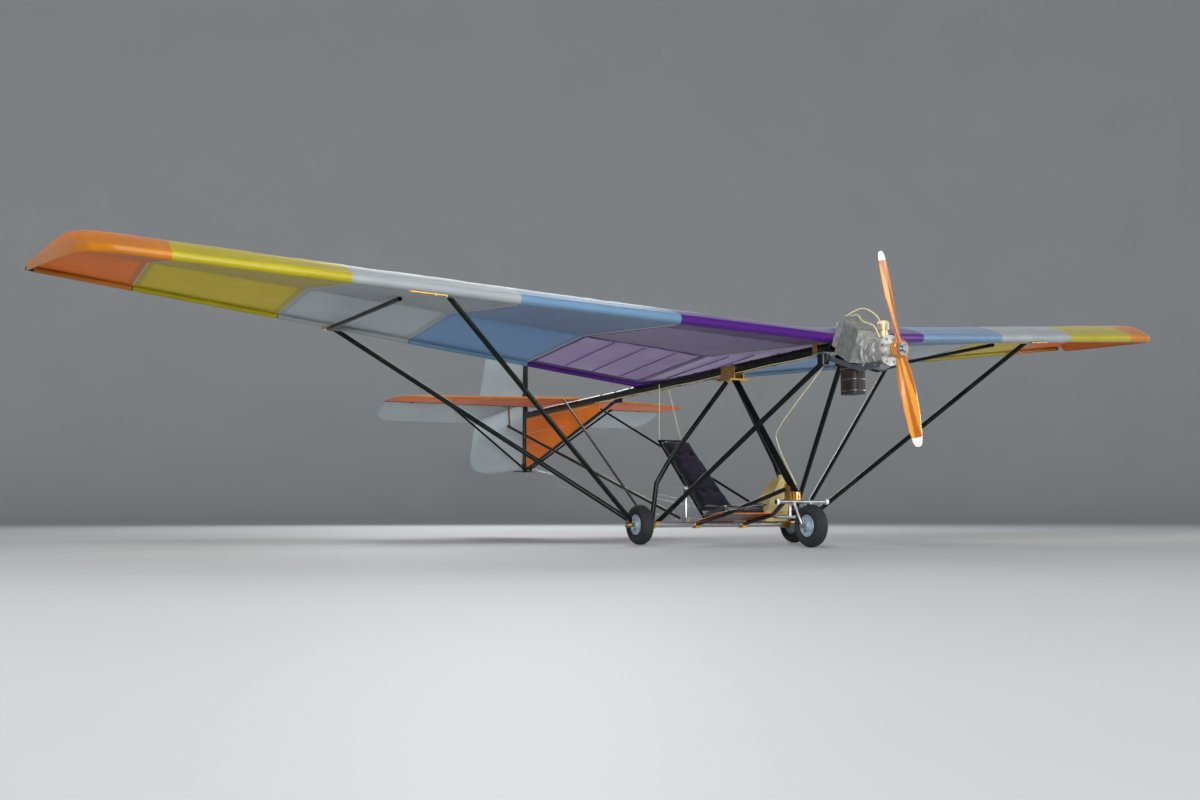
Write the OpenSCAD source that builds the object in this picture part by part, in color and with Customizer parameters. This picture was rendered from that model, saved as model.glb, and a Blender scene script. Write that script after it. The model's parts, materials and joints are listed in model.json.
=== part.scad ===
// Single-seat microlight aircraft, high wing with a double-surface fabric sail,
// one engine over the nose of the keel tube, three wheels.
// Millimetres. +X is port, +Y is aft, +Z is up, z = 0 is the floor under the tyres.
// Sizes along Y are given from the main axle; at() puts them in the part's frame,
// whose origin is on the floor in the middle of the overall length.

/* [Wing] */
// Half of the wing span, to the outside of the tip
half_span = 4270; // [3900:10:4600]
// Distance between the sewn ribs
rib_bay = 914; // [860:2:960]
// Leading edge tube at the keel, from the main axle
le_root_y = -1221; // [-1260:1:-1200]
// Leading edge tube height above the floor at the keel
le_root_z = 1252; // [1245:1:1300]
// Rearward sweep of the leading edge, degrees
le_sweep = 14.2; // [10:0.1:18]
// Rise of the leading edge towards the tip, degrees
le_rise = 5.1; // [3:0.1:7]
// Trailing edge tube at the keel, from the main axle
te_root_y = 1150; // [1050:1:1250]
// Forward taper of the trailing edge, degrees
te_taper = 2; // [0:0.1:4]
// Rise of the trailing edge towards the tip, degrees
te_rise = 6.7; // [5:0.1:8]
// Diameter of the leading edge tube
le_tube_d = 50; // [40:1:60]
// Diameter of the trailing edge tube
te_tube_d = 32; // [25:1:40]
// Wall of the sail skins, with their hems and battens
skin_t = 2.5; // [2:0.1:4]
// Height of the upper skin above the chord line at its highest
camber_h = 132; // [110:1:150]
// Height above the chord line where the lower skin joins the upper one
crease_h = 82; // [60:1:100]
// Place of that join, as a share of the chord
crease_f = 0.57; // [0.5:0.01:0.64]

/* [Keel] */
// Front end of the keel tube, from the main axle
keel_front_y = -1255; // [-1270:1:-1240]
// End of the thicker front part of the keel
keel_sleeve_y = 1310; // [1250:1:1400]
// Height of the keel's axis at its front end
keel_front_z = 1192; // [1180:1:1193]
// Fall of the keel towards the tail, degrees
keel_fall = 1.7; // [1:0.1:2.2]
// Diameter of the thicker front part
keel_sleeve_d = 64; // [60:1:66]
// Diameter of the rear part
keel_d = 57; // [50:1:58]
// Wall of the large tubes
tube_wall = 2; // [1.5:0.1:3]

/* [Struts] */
// Where the front lift struts meet the leading edge, across
strut_front_x = 2244; // [2100:1:2400]
// Where the rear lift struts meet the trailing edge, across
strut_rear_x = 2389; // [2250:1:2500]
// Diameter of the lift struts
strut_d = 32; // [28:1:38]
// Diameter of the compression struts between the edges
drag_strut_d = 28; // [22:1:32]

/* [Cage] */
// Diameter of the two bent side tubes and the nose tubes
cage_d = 32; // [26:1:36]
// Diameter of the forward strut
fore_strut_d = 46; // [40:1:50]
// Half width where the side tubes meet the axle
foot_x = 530; // [500:1:534]
// Half width of the seat rails
rail_x = 186; // [170:1:200]
// Diameter of the seat rails
rail_d = 28; // [24:1:30]

/* [Wheels] */
// Outer radius of all three tyres
tyre_r = 130; // [120:1:140]
// Width of a tyre
tyre_w = 92; // [80:1:96]
// Radius of the wheel rims where the tyre sits
rim_r = 64; // [58:1:70]
// Track, between the middles of the main tyres
track = 1232; // [1200:1:1280]
// Wheelbase, from the main axle to the nose wheel
wheelbase = 1013; // [1005:1:1040]
// Diameter of the main axle tube
axle_d = 38; // [34:1:40]
// Diameter of the stub that carries a wheel
stub_d = 25; // [22:1:26]
// Clearance of a wheel on its stub, on the radius
wheel_fit = 0.05; // [0.02:0.01:0.1]
// Height of the steering head's middle
head_z = 299; // [295:1:305]
// Steering pivot, from the main axle
head_y = -875; // [-880:1:-868]

/* [Seat] */
// Width of the seat cushion
seat_w = 330; // [300:1:340]
// Length of the seat cushion
seat_l = 278; // [250:1:284]
// Width of the backrest at its foot
back_w = 264; // [230:1:280]
// Length of the backrest
back_l = 850; // [800:1:870]
// Lean of the backrest from upright, degrees
back_lean = 49; // [46:1:52]
// Thickness of the cushions
cushion_t = 46; // [40:1:56]

/* [Tail] */
// Hinge line of the elevator, from the main axle
hinge_y = 3000; // [2990:1:3010]
// Height of the stabilizer
stab_z = 1136; // [1130:1:1145]
// Half span of the stabilizer
stab_half = 1330; // [1250:5:1400]
// Front of the stabilizer at the keel, from the main axle
stab_front_y = 2130; // [2080:5:2180]
// Thickness of the tail surfaces
tail_t = 12; // [10:1:14]
// Diameter of the tail tubes
tail_tube_d = 25; // [22:1:26]
// Rearward reach of the elevator from its hinge
elevator_chord = 425; // [380:5:460]
// How far the elevator hangs below level at rest, degrees
elevator_droop = 20; // [10:1:24]
// Length of the elevator's control horn
horn_l = 185; // [150:1:195]
// Axis of the rudder, from the main axle
rudder_y = 3150; // [3145:1:3160]
// Lower end of the rudder's hinge tube
rudder_low_z = 600; // [580:1:620]
// Upper end of the rudder's hinge tube
rudder_high_z = 1850; // [1800:5:1900]
// Rearward reach of the rudder low down
rudder_chord = 645; // [600:5:700]
// How far the rudder stands to starboard at rest, degrees
rudder_rest = 25; // [0:1:30]

/* [Engine] */
// Propeller's plane, from the main axle
prop_y = -1845; // [-1860:1:-1830]
// Height of the propeller shaft
prop_z = 1118; // [1100:1:1130]
// Propeller diameter
prop_d = 1110; // [1050:5:1200]
// Lean of the upright blade to starboard at rest, degrees
prop_angle = 13; // [-30:1:30]
// Side of the square cooling fins
fin_side = 200; // [180:1:204]
// Number of cooling fins
fin_count = 11; // [8:1:12]
// Lean of the cylinder from level, degrees
cylinder_lean = 28; // [24:1:32]

/* [Fuel tank] */
// Width of the fuel tank
tank_w = 186; // [150:1:190]
// Depth of the fuel tank
tank_l = 258; // [220:1:270]
// Height of the fuel tank
tank_h = 290; // [260:1:310]

/* [Hidden] */
$fn = 48;

// Gap between pieces that only rest on each other
seat_gap = 0.3;
// Rearmost point of the rudder's outline at rest and foremost point of the propeller hub
hub_front = 46;
front_end = prop_y - hub_front;
rear_end = rudder_y + rudder_chord * cos(rudder_rest) + tail_t * 0.4 * sin(rudder_rest);
axle_y = -(front_end + rear_end) / 2;

// A point given from the main axle, in the part's frame
function at(x, y, z) = [x, axle_y + y, z];

// Lines of the wing and the keel, for a distance x from the middle or a place y from the axle
function le_y(x) = le_root_y + x * tan(le_sweep);
function le_z(x) = le_root_z + x * tan(le_rise);
function te_y(x) = te_root_y - x * tan(te_taper);
function te_z(x) = te_root_z + x * tan(te_rise);
function keel_z(y) = keel_front_z - (y - keel_front_y) * tan(keel_fall);
te_root_z = keel_z(te_root_y) + keel_sleeve_d / 2 + te_tube_d / 2 + seat_gap;
// The sleeve is drawn with nose_step degrees between its points and clears the swept tube
nose_step = 20;
le_skin_r = le_tube_d / 2 / cos(le_sweep) / cos(nose_step / 2) + 2 * seat_gap + skin_t;

// A solid that follows closed outlines of equal length, one after the other. The second half of
// each outline is cut along the other diagonal, so the two sides of a thin skin stay parallel.
module skin(rings) {
    n = len(rings[0]);
    m = len(rings);
    last = (m - 1) * n;
    faces = concat(
        [for (i = [0:n / 2 - 2]) [i, i + 1, n - 2 - i, n - 1 - i]],
        [for (k = [0:m - 2], i = [0:n - 1]) each
            let (a = k * n + i, b = a + n, c = k * n + (i + 1) % n, d = c + n)
            i < n / 2 ? [[a, b, d], [a, d, c]] : [[a, b, c], [b, d, c]]],
        [for (i = [0:n / 2 - 2]) [last + n - 1 - i, last + n - 2 - i, last + i + 1, last + i]]);
    polyhedron([for (ring = rings) each ring], faces);
}

// A round bar, or a tube when it has a wall, from a to b
module rod(a, b, d, wall = 0) {
    v = b - a;
    translate(a)
        rotate([0, acos(v[2] / norm(v)), atan2(v[1], v[0])])
            difference() {
                cylinder(h = norm(v), d = d);
                if (wall > 0) translate([0, 0, -1]) cylinder(h = norm(v) + 2, d = d - 2 * wall);
            }
}

// A bar that bends at each of its inner points
module bent_rod(points, d) {
    bend_swell = 1.5;
    for (i = [0:len(points) - 2]) rod(points[i], points[i + 1], d);
    for (i = [1:len(points) - 2]) translate(points[i]) sphere(d = d + bend_swell);
}

// A flat plate with its outline in Y and Z, centred on x
module side_plate(outline, x, t) {
    translate([x - t / 2, axle_y, 0])
        rotate([90, 0, 90]) linear_extrude(t) polygon(outline);
}

// Children kept only inside the box from low to high, which trims the ends of tubes flat
module within(low, high) {
    intersection() {
        children();
        translate(low) cube(high - low);
    }
}
far = 6000;

module both_sides() {
    children();
    mirror([1, 0, 0]) children();
}

// Points on an arc about c, in two dimensions
function arc(c, r, a0, a1, n = 6) =
    [for (i = [0:n]) c + r * [cos(a0 + (a1 - a0) * i / n), sin(a0 + (a1 - a0) * i / n)]];

// ---- Wing sail ----

// Upper skin aft of the leading edge: share of the chord, share of the camber height
upper = [[0.06, 0.58], [0.14, 0.86], [0.24, 0.99], [0.34, 1], [0.44, 0.9]];
// Aft part of the upper skin, from the crease to the trailing edge: share of that length,
// share of the crease height
aft = [[0, 1], [0.35, 0.62], [0.7, 0.27]];
// Rounding of the tip: distance from the outer edge, how far the leading edge is set back
tip = [[330, 0], [210, 50], [150, 160], [95, 430], [0, 1060]];

// Outline of the sail's skin at a distance x from the middle: an open C that the two skins make
function sail_ring(x, setback = 0) =
    let (y0 = le_y(x) + setback, y1 = te_y(x), c = y1 - y0,
         z0 = le_z(x) + setback * (te_z(x) - le_z(x)) / (te_y(x) - le_y(x)),
         rise = (te_z(x) - z0) / c,
         k = min(1, 1.2 * c / (te_y(x) - le_y(x))),
         point = function (f, h) at(x, y0 + f * c, z0 + f * c * rise + h),
         nose = function (r) [for (a = [100:nose_step:260]) at(x, y0 + r * cos(a), z0 + r * sin(a))],
         te_h = te_tube_d / 2 + seat_gap)
    concat(
        [point(1, te_h + skin_t)],
        [for (i = [len(aft) - 1:-1:0]) point(crease_f + aft[i][0] * (1 - crease_f),
            k * aft[i][1] * (crease_h - te_h) + te_h + skin_t)],
        [for (i = [len(upper) - 1:-1:0]) point(upper[i][0], k * upper[i][1] * camber_h + skin_t)],
        nose(le_skin_r),
        [point(crease_f - 0.01, k * crease_h - 3 * skin_t)],
        [point(crease_f - 0.01, k * crease_h - 2 * skin_t)],
        [for (i = [160 / nose_step:-1:0]) nose(le_skin_r - skin_t)[i]],
        [for (p = upper) point(p[0], k * p[1] * camber_h)],
        [for (p = aft) point(crease_f + p[0] * (1 - crease_f),
            k * p[1] * (crease_h - te_h) + te_h)],
        [point(1, te_h)]);

module sail_panel(x0, x1) {
    both_sides() skin([for (x = [x0:(x1 - x0) / 3:x1 + 1]) sail_ring(x)]);
}

module sail_centre() {
    color("mediumpurple") skin([for (x = [-rib_bay:rib_bay / 3:rib_bay + 1])
        [for (p = sail_ring(abs(x))) [x, p[1], p[2]]]]);
}

module sail_blue() {
    color("lightblue") sail_panel(rib_bay, 2 * rib_bay);
}

module sail_white() {
    color("gainsboro") sail_panel(2 * rib_bay, 3 * rib_bay);
}

module sail_yellow() {
    color("yellow") sail_panel(3 * rib_bay, 4 * rib_bay);
}

module sail_tip() {
    color("orange") both_sides() skin(concat([sail_ring(4 * rib_bay), sail_ring(4.15 * rib_bay)],
        [for (t = tip) sail_ring(half_span - t[0], t[1])]));
}

module leading_edge_tubes() {
    inner_x = le_tube_d * 0.6;
    outer_x = half_span - tip[0][0] - 28;
    color("darkslategray") both_sides()
        rod(at(inner_x, le_y(inner_x), le_z(inner_x)), at(outer_x, le_y(outer_x), le_z(outer_x)),
            le_tube_d, tube_wall);
}

module trailing_edge_tubes() {
    inner_x = te_tube_d;
    color("darkslategray") both_sides()
        rod(at(inner_x, te_y(inner_x), te_z(inner_x)),
            at(half_span, te_y(half_span), te_z(half_span)), te_tube_d, tube_wall);
}

// Underside of the sail between the leading edge and the crease
function under_z(x, y) =
    let (c = te_y(x) - le_y(x), f = (y - le_y(x)) / c,
         f0 = le_skin_r * cos(260) / c, z0 = le_skin_r * sin(260), z1 = crease_h - 3 * skin_t)
    le_z(x) + f * (te_z(x) - le_z(x)) + z0 + (f - f0) / (crease_f - 0.01 - f0) * (z1 - z0);

// ---- Keel ----

function keel_at(y) = at(0, y, keel_z(y));

module keel_tube() {
    color("darkslategray") {
        rod(keel_at(keel_front_y), keel_at(keel_sleeve_y), keel_sleeve_d,
            (keel_sleeve_d - keel_d) / 2 + tube_wall);
        rod(keel_at(keel_sleeve_y - 20), keel_at(keel_rear_y), keel_d, tube_wall);
    }
}

// Saddle that ties the two leading edge tubes to the nose of the keel
module nose_bracket() {
    y0 = le_root_y + 82;
    z0 = keel_z(y0) + keel_sleeve_d / 2 + seat_gap;
    color("goldenrod") {
        translate(at(-30, y0 - 2, z0)) cube([60, 46, 6]);
        both_sides() side_plate([[y0, z0 - 60], [y0 + 40, z0 - 60], [y0 + 40, z0 + 6], [y0, z0 + 6]],
            keel_sleeve_d / 2 + seat_gap + 2.5, 5);
    }
}

tripod_y = -150;

bracket_low = keel_z(tripod_y) - keel_sleeve_d / 2 - 46;

// Plates on both sides of the keel that carry the side tubes and the forward strut
module keel_bracket() {
    z = keel_z(tripod_y);
    r = keel_sleeve_d / 2;
    t = 6;
    front_y = tripod_y - 100;
    rear_y = tripod_y + 60;
    plate = [[front_y, bracket_low + 6], [rear_y, bracket_low + 6], [rear_y, z + 20], [front_y, z + 20]];
    color("goldenrod") {
        both_sides() side_plate(plate, r + seat_gap + t / 2, t);
        translate(at(-72, front_y, bracket_low)) cube([144, rear_y - front_y, 12]);
    }
}

// ---- Cage ----

cross_z = tyre_r;
// Line of the forward strut, from a point near the keel to one near the steering head
fore_high = at(0, -200, 1093);
fore_low = at(0, -838, 353);
gusset_t = 5;
gusset_low = head_z - 20;

module forward_strut() {
    color("darkslategray")
        within(at(-far, -far, gusset_low + 60), at(far, far, bracket_low - seat_gap))
            rod(fore_low + (fore_low - fore_high) * 0.1, fore_high, fore_strut_d, tube_wall);
}

clamp_top = cross_z + axle_d / 2 + 2;
side_points = [at(36, -154, 1075), at(423, -47, 545), at(502, -22, 400), at(foot_x, -3, 140)];

module side_tubes() {
    color("darkslategray") both_sides()
        within(at(0, -far, clamp_top + seat_gap), at(far, far, bracket_low - seat_gap))
            bent_rod(side_points, cage_d);
}

can_r = 34;
can_h = 62;
mount_y = -1240;
mount_low = keel_z(mount_y + 60) - keel_sleeve_d / 2 - 11 - 2 * seat_gap;
can_c = at(66, mount_y, mount_low - seat_gap - can_h);
nose_foot = at(foot_x + 12, -66, 130);

// Tubes from the nose of the keel to the axle, each under its rubber-ringed cup
module nose_tubes() {
    color("dimgray") both_sides() {
        translate(can_c) cylinder(h = can_h, r = can_r);
        within(at(0, -far, clamp_top + seat_gap), at(far, far, can_c[2] + 20))
            rod(can_c + [0, 0, 16], nose_foot, cage_d);
    }
}

rail_bend = at(rail_x + 6, -340, 192);
rail_front = at(gusset_t + fore_strut_d / 2 + 2 * seat_gap + rail_d / 2, -802, 352);
rail_clamp = 6;
rail_foot = at(rail_x, 0, cross_z);
rail_lean = atan((rail_bend[2] - rail_foot[2]) / (rail_foot[1] - rail_bend[1]));

module seat_rails() {
    color("black") both_sides()
        within(at(0, -far, 0), at(far, -axle_d / 2 - rail_clamp - seat_gap, far))
            bent_rod([rail_front, rail_bend, rail_foot], rail_d);
}

module axle_tube() {
    tube_x = track / 2 - tyre_w / 2 - 14;
    stub_x = track / 2 + tyre_w / 2 + 60;
    color("silver") {
        rod(at(-tube_x, 0, cross_z), at(tube_x, 0, cross_z), axle_d);
        both_sides() rod(at(tube_x - 30, 0, cross_z), at(stub_x, 0, cross_z), stub_d);
    }
}

strut_foot_x = track / 2 + tyre_w / 2 + 36;
strut_plate_t = 6;

// Plates on the axle: outboard of each wheel for the lift struts, inboard for the cage tubes
module axle_brackets() {
    r = axle_d / 2;
    color("goldenrod") both_sides() {
        difference() {
            side_plate([[-44, cross_z - 18], [44, cross_z - 18], [44, cross_z + 46], [-44, cross_z + 46]],
                strut_foot_x, strut_plate_t);
            rod(at(strut_foot_x - 20, 0, cross_z), at(strut_foot_x + 20, 0, cross_z), stub_d + 0.2);
        }
        difference() {
            union() {
                translate(at(foot_x - 20, -r - 6, cross_z - r - 6)) cube([50, 2 * r + 12, 2 * r + 8]);
                translate(at(foot_x - 20, -104, clamp_top - 12)) cube([50, 104, 12]);
            }
            rod(at(foot_x - 40, 0, cross_z), at(foot_x + 40, 0, cross_z), axle_d + 0.2);
        }
        difference() {
            translate(at(rail_x - 18, -r - rail_clamp, cross_z - r - rail_clamp))
                cube([36, 2 * (r + rail_clamp), 2 * r + rail_clamp + 2]);
            rod(at(rail_x - 30, 0, cross_z), at(rail_x + 30, 0, cross_z), axle_d + 0.2);
        }
    }
}

// ---- Wing struts ----

fitting_t = 6;

// Children's +X runs outboard along the leading or the trailing edge from a distance x
module on_leading_edge(x) {
    translate(at(x, le_y(x), le_z(x)))
        rotate([0, -atan(tan(le_rise) * cos(le_sweep)), le_sweep]) children();
}

module on_trailing_edge(x) {
    translate(at(x, te_y(x), te_z(x)))
        rotate([0, -atan(tan(te_rise) * cos(te_taper)), -te_taper]) children();
}

// Depth of each fitting's upper face under its tube
front_drop = le_skin_r + seat_gap;
rear_drop = te_tube_d / 2 + seat_gap;
strut_side = strut_foot_x + strut_plate_t / 2 + seat_gap;

// A lift strut from the outboard axle plate at height z and place y to a wing tube
module lift_strut(y, z, top) {
    within(at(strut_side, -far, 0), at(far, far, far))
        rod(at(strut_foot_x - 20, y, z), top, strut_d, tube_wall);
}

module front_lift_struts() {
    color("darkslategray") both_sides() difference() {
        lift_strut(-24, cross_z + 8, at(strut_front_x, le_y(strut_front_x) + 10, le_z(strut_front_x)));
        on_leading_edge(strut_front_x)
            translate([-200, -200, -front_drop - fitting_t - seat_gap]) cube(400);
    }
}

module rear_lift_struts() {
    color("darkslategray") both_sides() difference() {
        lift_strut(20, cross_z + 26, at(strut_rear_x, te_y(strut_rear_x), te_z(strut_rear_x)));
        on_trailing_edge(strut_rear_x)
            translate([-200, -200, -rear_drop - 2 * fitting_t - seat_gap]) cube(400);
    }
}

drag_end_y = -180;

// Compression struts from the rear fittings to reinforced patches in the lower skin
module drag_struts() {
    x0 = strut_rear_x + 10;
    x1 = strut_front_x + 90;
    r = drag_strut_d / 2;
    front = at(x1, drag_end_y, under_z(x1, drag_end_y) - r - 3 * seat_gap);
    color("darkslategray") both_sides()
        rod(at(x0, te_y(x0) - 16 - 2 * seat_gap, te_z(x0) - rear_drop - fitting_t), front,
            drag_strut_d, tube_wall);
}

eye_r = 6;

// Plates under the wing tubes at the tops of the lift struts, each with a tie-down eye outboard
module strut_fittings() {
    color("peru") both_sides() {
        on_leading_edge(strut_front_x) difference() {
            translate([-24, -15, -front_drop - fitting_t]) cube([214, 30, fitting_t]);
            translate([170, 0, -front_drop - 2 * fitting_t]) cylinder(h = 3 * fitting_t, r = eye_r);
        }
        on_trailing_edge(strut_rear_x)
            translate([-26, -16, -rear_drop - 2 * fitting_t]) cube([70, 32, 2 * fitting_t]);
    }
}

// ---- Wheels ----

// Section of a tyre around the wheel's axis: an oval crown that closes on the rim
module tyre(c) {
    crown = tyre_w / 2;
    belly_r = tyre_r - 33;
    translate(c) rotate([0, 90, 0]) rotate_extrude($fn = 96) polygon(concat(
        [[rim_r, -crown * 0.6]],
        [for (a = [-120:15:120]) [belly_r + (tyre_r - belly_r) * cos(a), crown * sin(a)]],
        [[rim_r, crown * 0.6]]));
}

module rim(c) {
    w = tyre_w * 0.6;
    translate(c) rotate([0, 90, 0]) difference() {
        union() {
            translate([0, 0, -w / 2]) cylinder(h = w, r = rim_r - seat_gap);
            translate([0, 0, -w / 2 - 9]) cylinder(h = w + 18, r = 24);
        }
        translate([0, 0, -w]) cylinder(h = 2 * w, d = stub_d + 2 * wheel_fit);
        for (s = [-1, 1]) translate([0, 0, s * w / 2]) difference() {
            translate([0, 0, -12]) cylinder(h = 24, r = rim_r - 8);
            translate([0, 0, -20]) cylinder(h = 40, r = 32);
        }
    }
}

left_c = at(track / 2, 0, tyre_r);
right_c = at(-track / 2, 0, tyre_r);
nose_c = at(0, -wheelbase, tyre_r);

module left_tyre() { color("dimgray") tyre(left_c); }
module left_rim() { color("lightsteelblue") rim(left_c); }
module right_tyre() { color("dimgray") tyre(right_c); }
module right_rim() { color("lightsteelblue") rim(right_c); }
module nose_tyre() { color("dimgray") tyre(nose_c); }
module nose_rim() { color("lightsteelblue") rim(nose_c); }

// ---- Nose gear ----

pivot_d = 22;
head_h = 44;
head_low = head_z - head_h / 2;
bar_y = head_y - 50;
bar_z = head_low - 2;
bar_d = 24;
fork_x = tyre_w / 2 + 17;
arm_d = 20;
thrust_gap = 2;

// Gold head with the upright bore that the fork turns in, and gussets for the strut and rails
module steering_head() {
    gusset_x = fore_strut_d / 2 + seat_gap + gusset_t / 2;
    rear_y = head_y + 92;
    color("goldenrod") difference() {
        union() {
            translate(at(0, head_y, head_low)) cylinder(h = head_h, d = 44);
            translate(at(-gusset_x, head_y, head_low))
                cube([2 * gusset_x, 88, gusset_low + 60 - seat_gap - head_low]);
            both_sides() side_plate([[head_y + 24, head_low], [rear_y, head_low],
                [rear_y, gusset_low + 110], [head_y + 40, gusset_low + 90]], gusset_x, gusset_t);
        }
        translate(at(0, head_y, head_z - head_h)) cylinder(h = 3 * head_h, d = pivot_d + 0.1);
        translate(at(0, head_y, head_low + head_h)) cylinder(h = 60, d = 46);
    }
}

// Rest for the pilot's heels, on a post under the steering head
module heel_bar() {
    post_y = head_y + 76;
    color("silver") {
        translate(at(0, post_y, 180)) cylinder(h = head_low - 180 - seat_gap, d = 16);
        rod(at(-120, post_y, 182), at(120, post_y, 182), 22);
    }
}

// Pivot pin with a yoke below the head, the cross bar and an arm down each side of the wheel
module steering_fork() {
    yoke_t = 12;
    yoke_top = head_low - thrust_gap;
    nut_h = 10;
    color("silver") {
        translate(at(0, head_y, yoke_top - yoke_t))
            cylinder(h = yoke_t + thrust_gap + head_h + thrust_gap + nut_h, d = pivot_d);
        translate(at(0, head_y, head_low + head_h + thrust_gap)) cylinder(h = nut_h, d = 30);
        translate(at(0, head_y, yoke_top - yoke_t)) cylinder(h = yoke_t, d = 40);
        translate(at(-20, bar_y, yoke_top - yoke_t)) cube([40, head_y - bar_y, yoke_t]);
        rod(at(-fork_x - 14, bar_y, bar_z), at(fork_x + 14, bar_y, bar_z), bar_d);
        both_sides() rod(at(fork_x, bar_y, bar_z), at(fork_x, -wheelbase, tyre_r), arm_d);
        rod(at(-fork_x - 16, -wheelbase, tyre_r), at(fork_x + 16, -wheelbase, tyre_r), stub_d);
    }
}

module foot_bar() {
    end_x = 176;
    color("gray") both_sides() {
        rod(at(fork_x + 14 + seat_gap, bar_y, bar_z), at(end_x + 4, bar_y, bar_z), 22);
        rod(at(end_x, bar_y, bar_z), at(end_x + 18, bar_y, bar_z), 30);
    }
}

// ---- Seat ----

pan_t = 5;
pan_y = -46;

// Children's -Y runs forward along the top of the seat rails
module on_rails() {
    translate(at(0, pan_y, cross_z - pan_y * tan(rail_lean) + (rail_d / 2 + 2 * seat_gap) / cos(rail_lean)))
        rotate([-rail_lean, 0, 0]) children();
}

module seat_pan() {
    half = rail_x + 18;
    color("darkorange") on_rails() translate([-half, -seat_l, 0]) cube([2 * half, seat_l, pan_t]);
}

module seat_cushion() {
    color("black") on_rails() translate([-seat_w / 2, -seat_l, pan_t + seat_gap])
        cube([seat_w, seat_l - 6, cushion_t]);
}

back_d = 20;
back_taper = 45;

// Children's +Y runs up the backrest from its foot on the axle, +Z is its front
module on_back() {
    translate(at(0, 0, cross_z + axle_d / 2 + back_d / 2 + 3 * seat_gap))
        rotate([90 - back_lean, 0, 0]) children();
}

module seat_back_frame() {
    foot = back_w / 2 - back_d;
    head = foot - back_taper / 2;
    corner_d = back_d + 1;
    color("dimgray") on_back() {
        both_sides() {
            rod([foot, 0, 0], [head, back_l, 0], back_d);
            translate([foot, 0, 0]) sphere(d = corner_d);
            translate([head, back_l, 0]) sphere(d = corner_d);
        }
        rod([-head, back_l, 0], [head, back_l, 0], back_d);
        rod([-foot, 0, 0], [foot, 0, 0], back_d);
    }
}

// Two cushions, one above the other, on the front of the back frame
module seat_back_cushions() {
    gap = 14;
    margin = 60;
    each_l = (back_l - gap - 2 * margin) / 2;
    slope = back_taper / 2 / back_l;
    color("black") on_back() for (i = [0, 1]) {
        y0 = margin + i * (each_l + gap);
        w0 = back_w / 2 - y0 * slope;
        w1 = w0 - each_l * slope;
        translate([0, y0, back_d / 2 + seat_gap]) linear_extrude(cushion_t)
            polygon([[-w0, 0], [w0, 0], [w1, each_l], [-w1, each_l]]);
    }
}

// Webbing straps that hang the top of the backrest from the keel
module seat_straps() {
    top_y = 730;
    strap_d = 7;
    top = at(keel_sleeve_d / 2 + strap_d / 2 + seat_gap, top_y, keel_z(top_y));
    drop = back_d / 2 + strap_d / 2 + 1;
    foot = at(back_w / 2 - back_d - back_taper / 2, back_l * sin(back_lean),
        cross_z + axle_d / 2 + back_d / 2 + back_l * cos(back_lean) + drop);
    color("wheat") both_sides() rod(top, foot, strap_d);
}

// ---- Fuel tank and controls ----

// Tapered tank on the axle; its top leans forward past the bent side tube
module fuel_tank() {
    x0 = 304;
    y0 = -96;
    z0 = cross_z + axle_d / 2 + seat_gap;
    neck_h = 34;
    base = [[0, 0], [tank_w, 0], [tank_w, tank_l], [0, tank_l]];
    waist = [[30, -24], [tank_w - 4, -24], [tank_w - 10, tank_l * 0.62], [30, tank_l * 0.62]];
    top = [[86, -58], [tank_w - 14, -58], [tank_w - 14, 26], [86, 26]];
    ring = function (o, z) [for (p = o) at(x0 + p[0], y0 + p[1], z0 + z)];
    color("khaki") {
        skin([ring(base, 0), ring(waist, tank_h * 0.5), ring(top, tank_h)]);
        translate(at(x0 + tank_w - 56, y0 - 16, z0 + tank_h - 4)) cylinder(h = neck_h, d = 52);
    }
}

stick_x = -262;
stick_base = [32, 70, 26];

module control_stick() {
    color("gray") {
        translate(at(stick_x - stick_base[0] / 2, -20, cross_z + axle_d / 2 + seat_gap)) cube(stick_base);
        rod(at(stick_x, 0, cross_z + axle_d / 2 + 20), at(stick_x, 8, cross_z + 236), 16);
        translate(at(stick_x, 8, cross_z + 240)) sphere(d = 34);
    }
}

// Elevator's axis, its tube and its horn, whose foot the pushrod pulls
elevator_tube_d = 22;
elevator_y = hinge_y + 5 + elevator_tube_d / 2;
horn_x = -205;
horn_t = 5;
horn_tip = at(horn_x, elevator_y - 14, stab_z - horn_l);
pushrod_d = 24;
pushrod_front = at(stick_x, stick_base[1] - 20 + 5, cross_z + axle_d / 2 + 18);
pushrod_rear = horn_tip + [-horn_t / 2 - pushrod_d / 2 - 0.5, 0, 0];

module elevator_pushrod() {
    color("black") rod(pushrod_front, pushrod_rear, pushrod_d, tube_wall);
}

// ---- Engine ----

case_y = prop_y + 75;
case_l = 164;
case_r = 82;
cyl_root = at(0, case_y + 158, prop_z + 17);
root_gap = 40;

// Placed along the cylinder: +Z of the children runs from the crankcase to the head
module along_cylinder() {
    translate(cyl_root) rotate([-(90 - cylinder_lean), 0, 0]) children();
}

module crankcase() {
    shaft_d = 30;
    boss_l = 40;
    color("gainsboro") difference() {
        union() {
            translate(at(0, case_y, prop_z)) rotate([-90, 0, 0]) cylinder(h = case_l, r = case_r);
            translate(at(0, case_y - boss_l, prop_z)) rotate([-90, 0, 0]) cylinder(h = boss_l + 10, r = 38);
            along_cylinder() translate([0, 0, -20]) cylinder(h = root_gap + 20, r = 60);
        }
        translate(at(0, case_y - boss_l - 10, prop_z))
            rotate([-90, 0, 0]) cylinder(h = boss_l + 60, d = shaft_d + 0.2);
    }
}

block_h = 160;
fin_pitch = block_h / fin_count;

module cylinder_block() {
    fin_t = 5;
    color("silver") along_cylinder() {
        translate([0, 0, root_gap + seat_gap]) cylinder(h = block_h, r = 62);
        for (i = [0:fin_count - 1])
            translate([-fin_side / 2, -fin_side / 2, root_gap + 6 + i * fin_pitch])
                cube([fin_side, fin_side, fin_t]);
    }
}

head_side = fin_side * 0.8;
cyl_head_h = 66;

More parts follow.
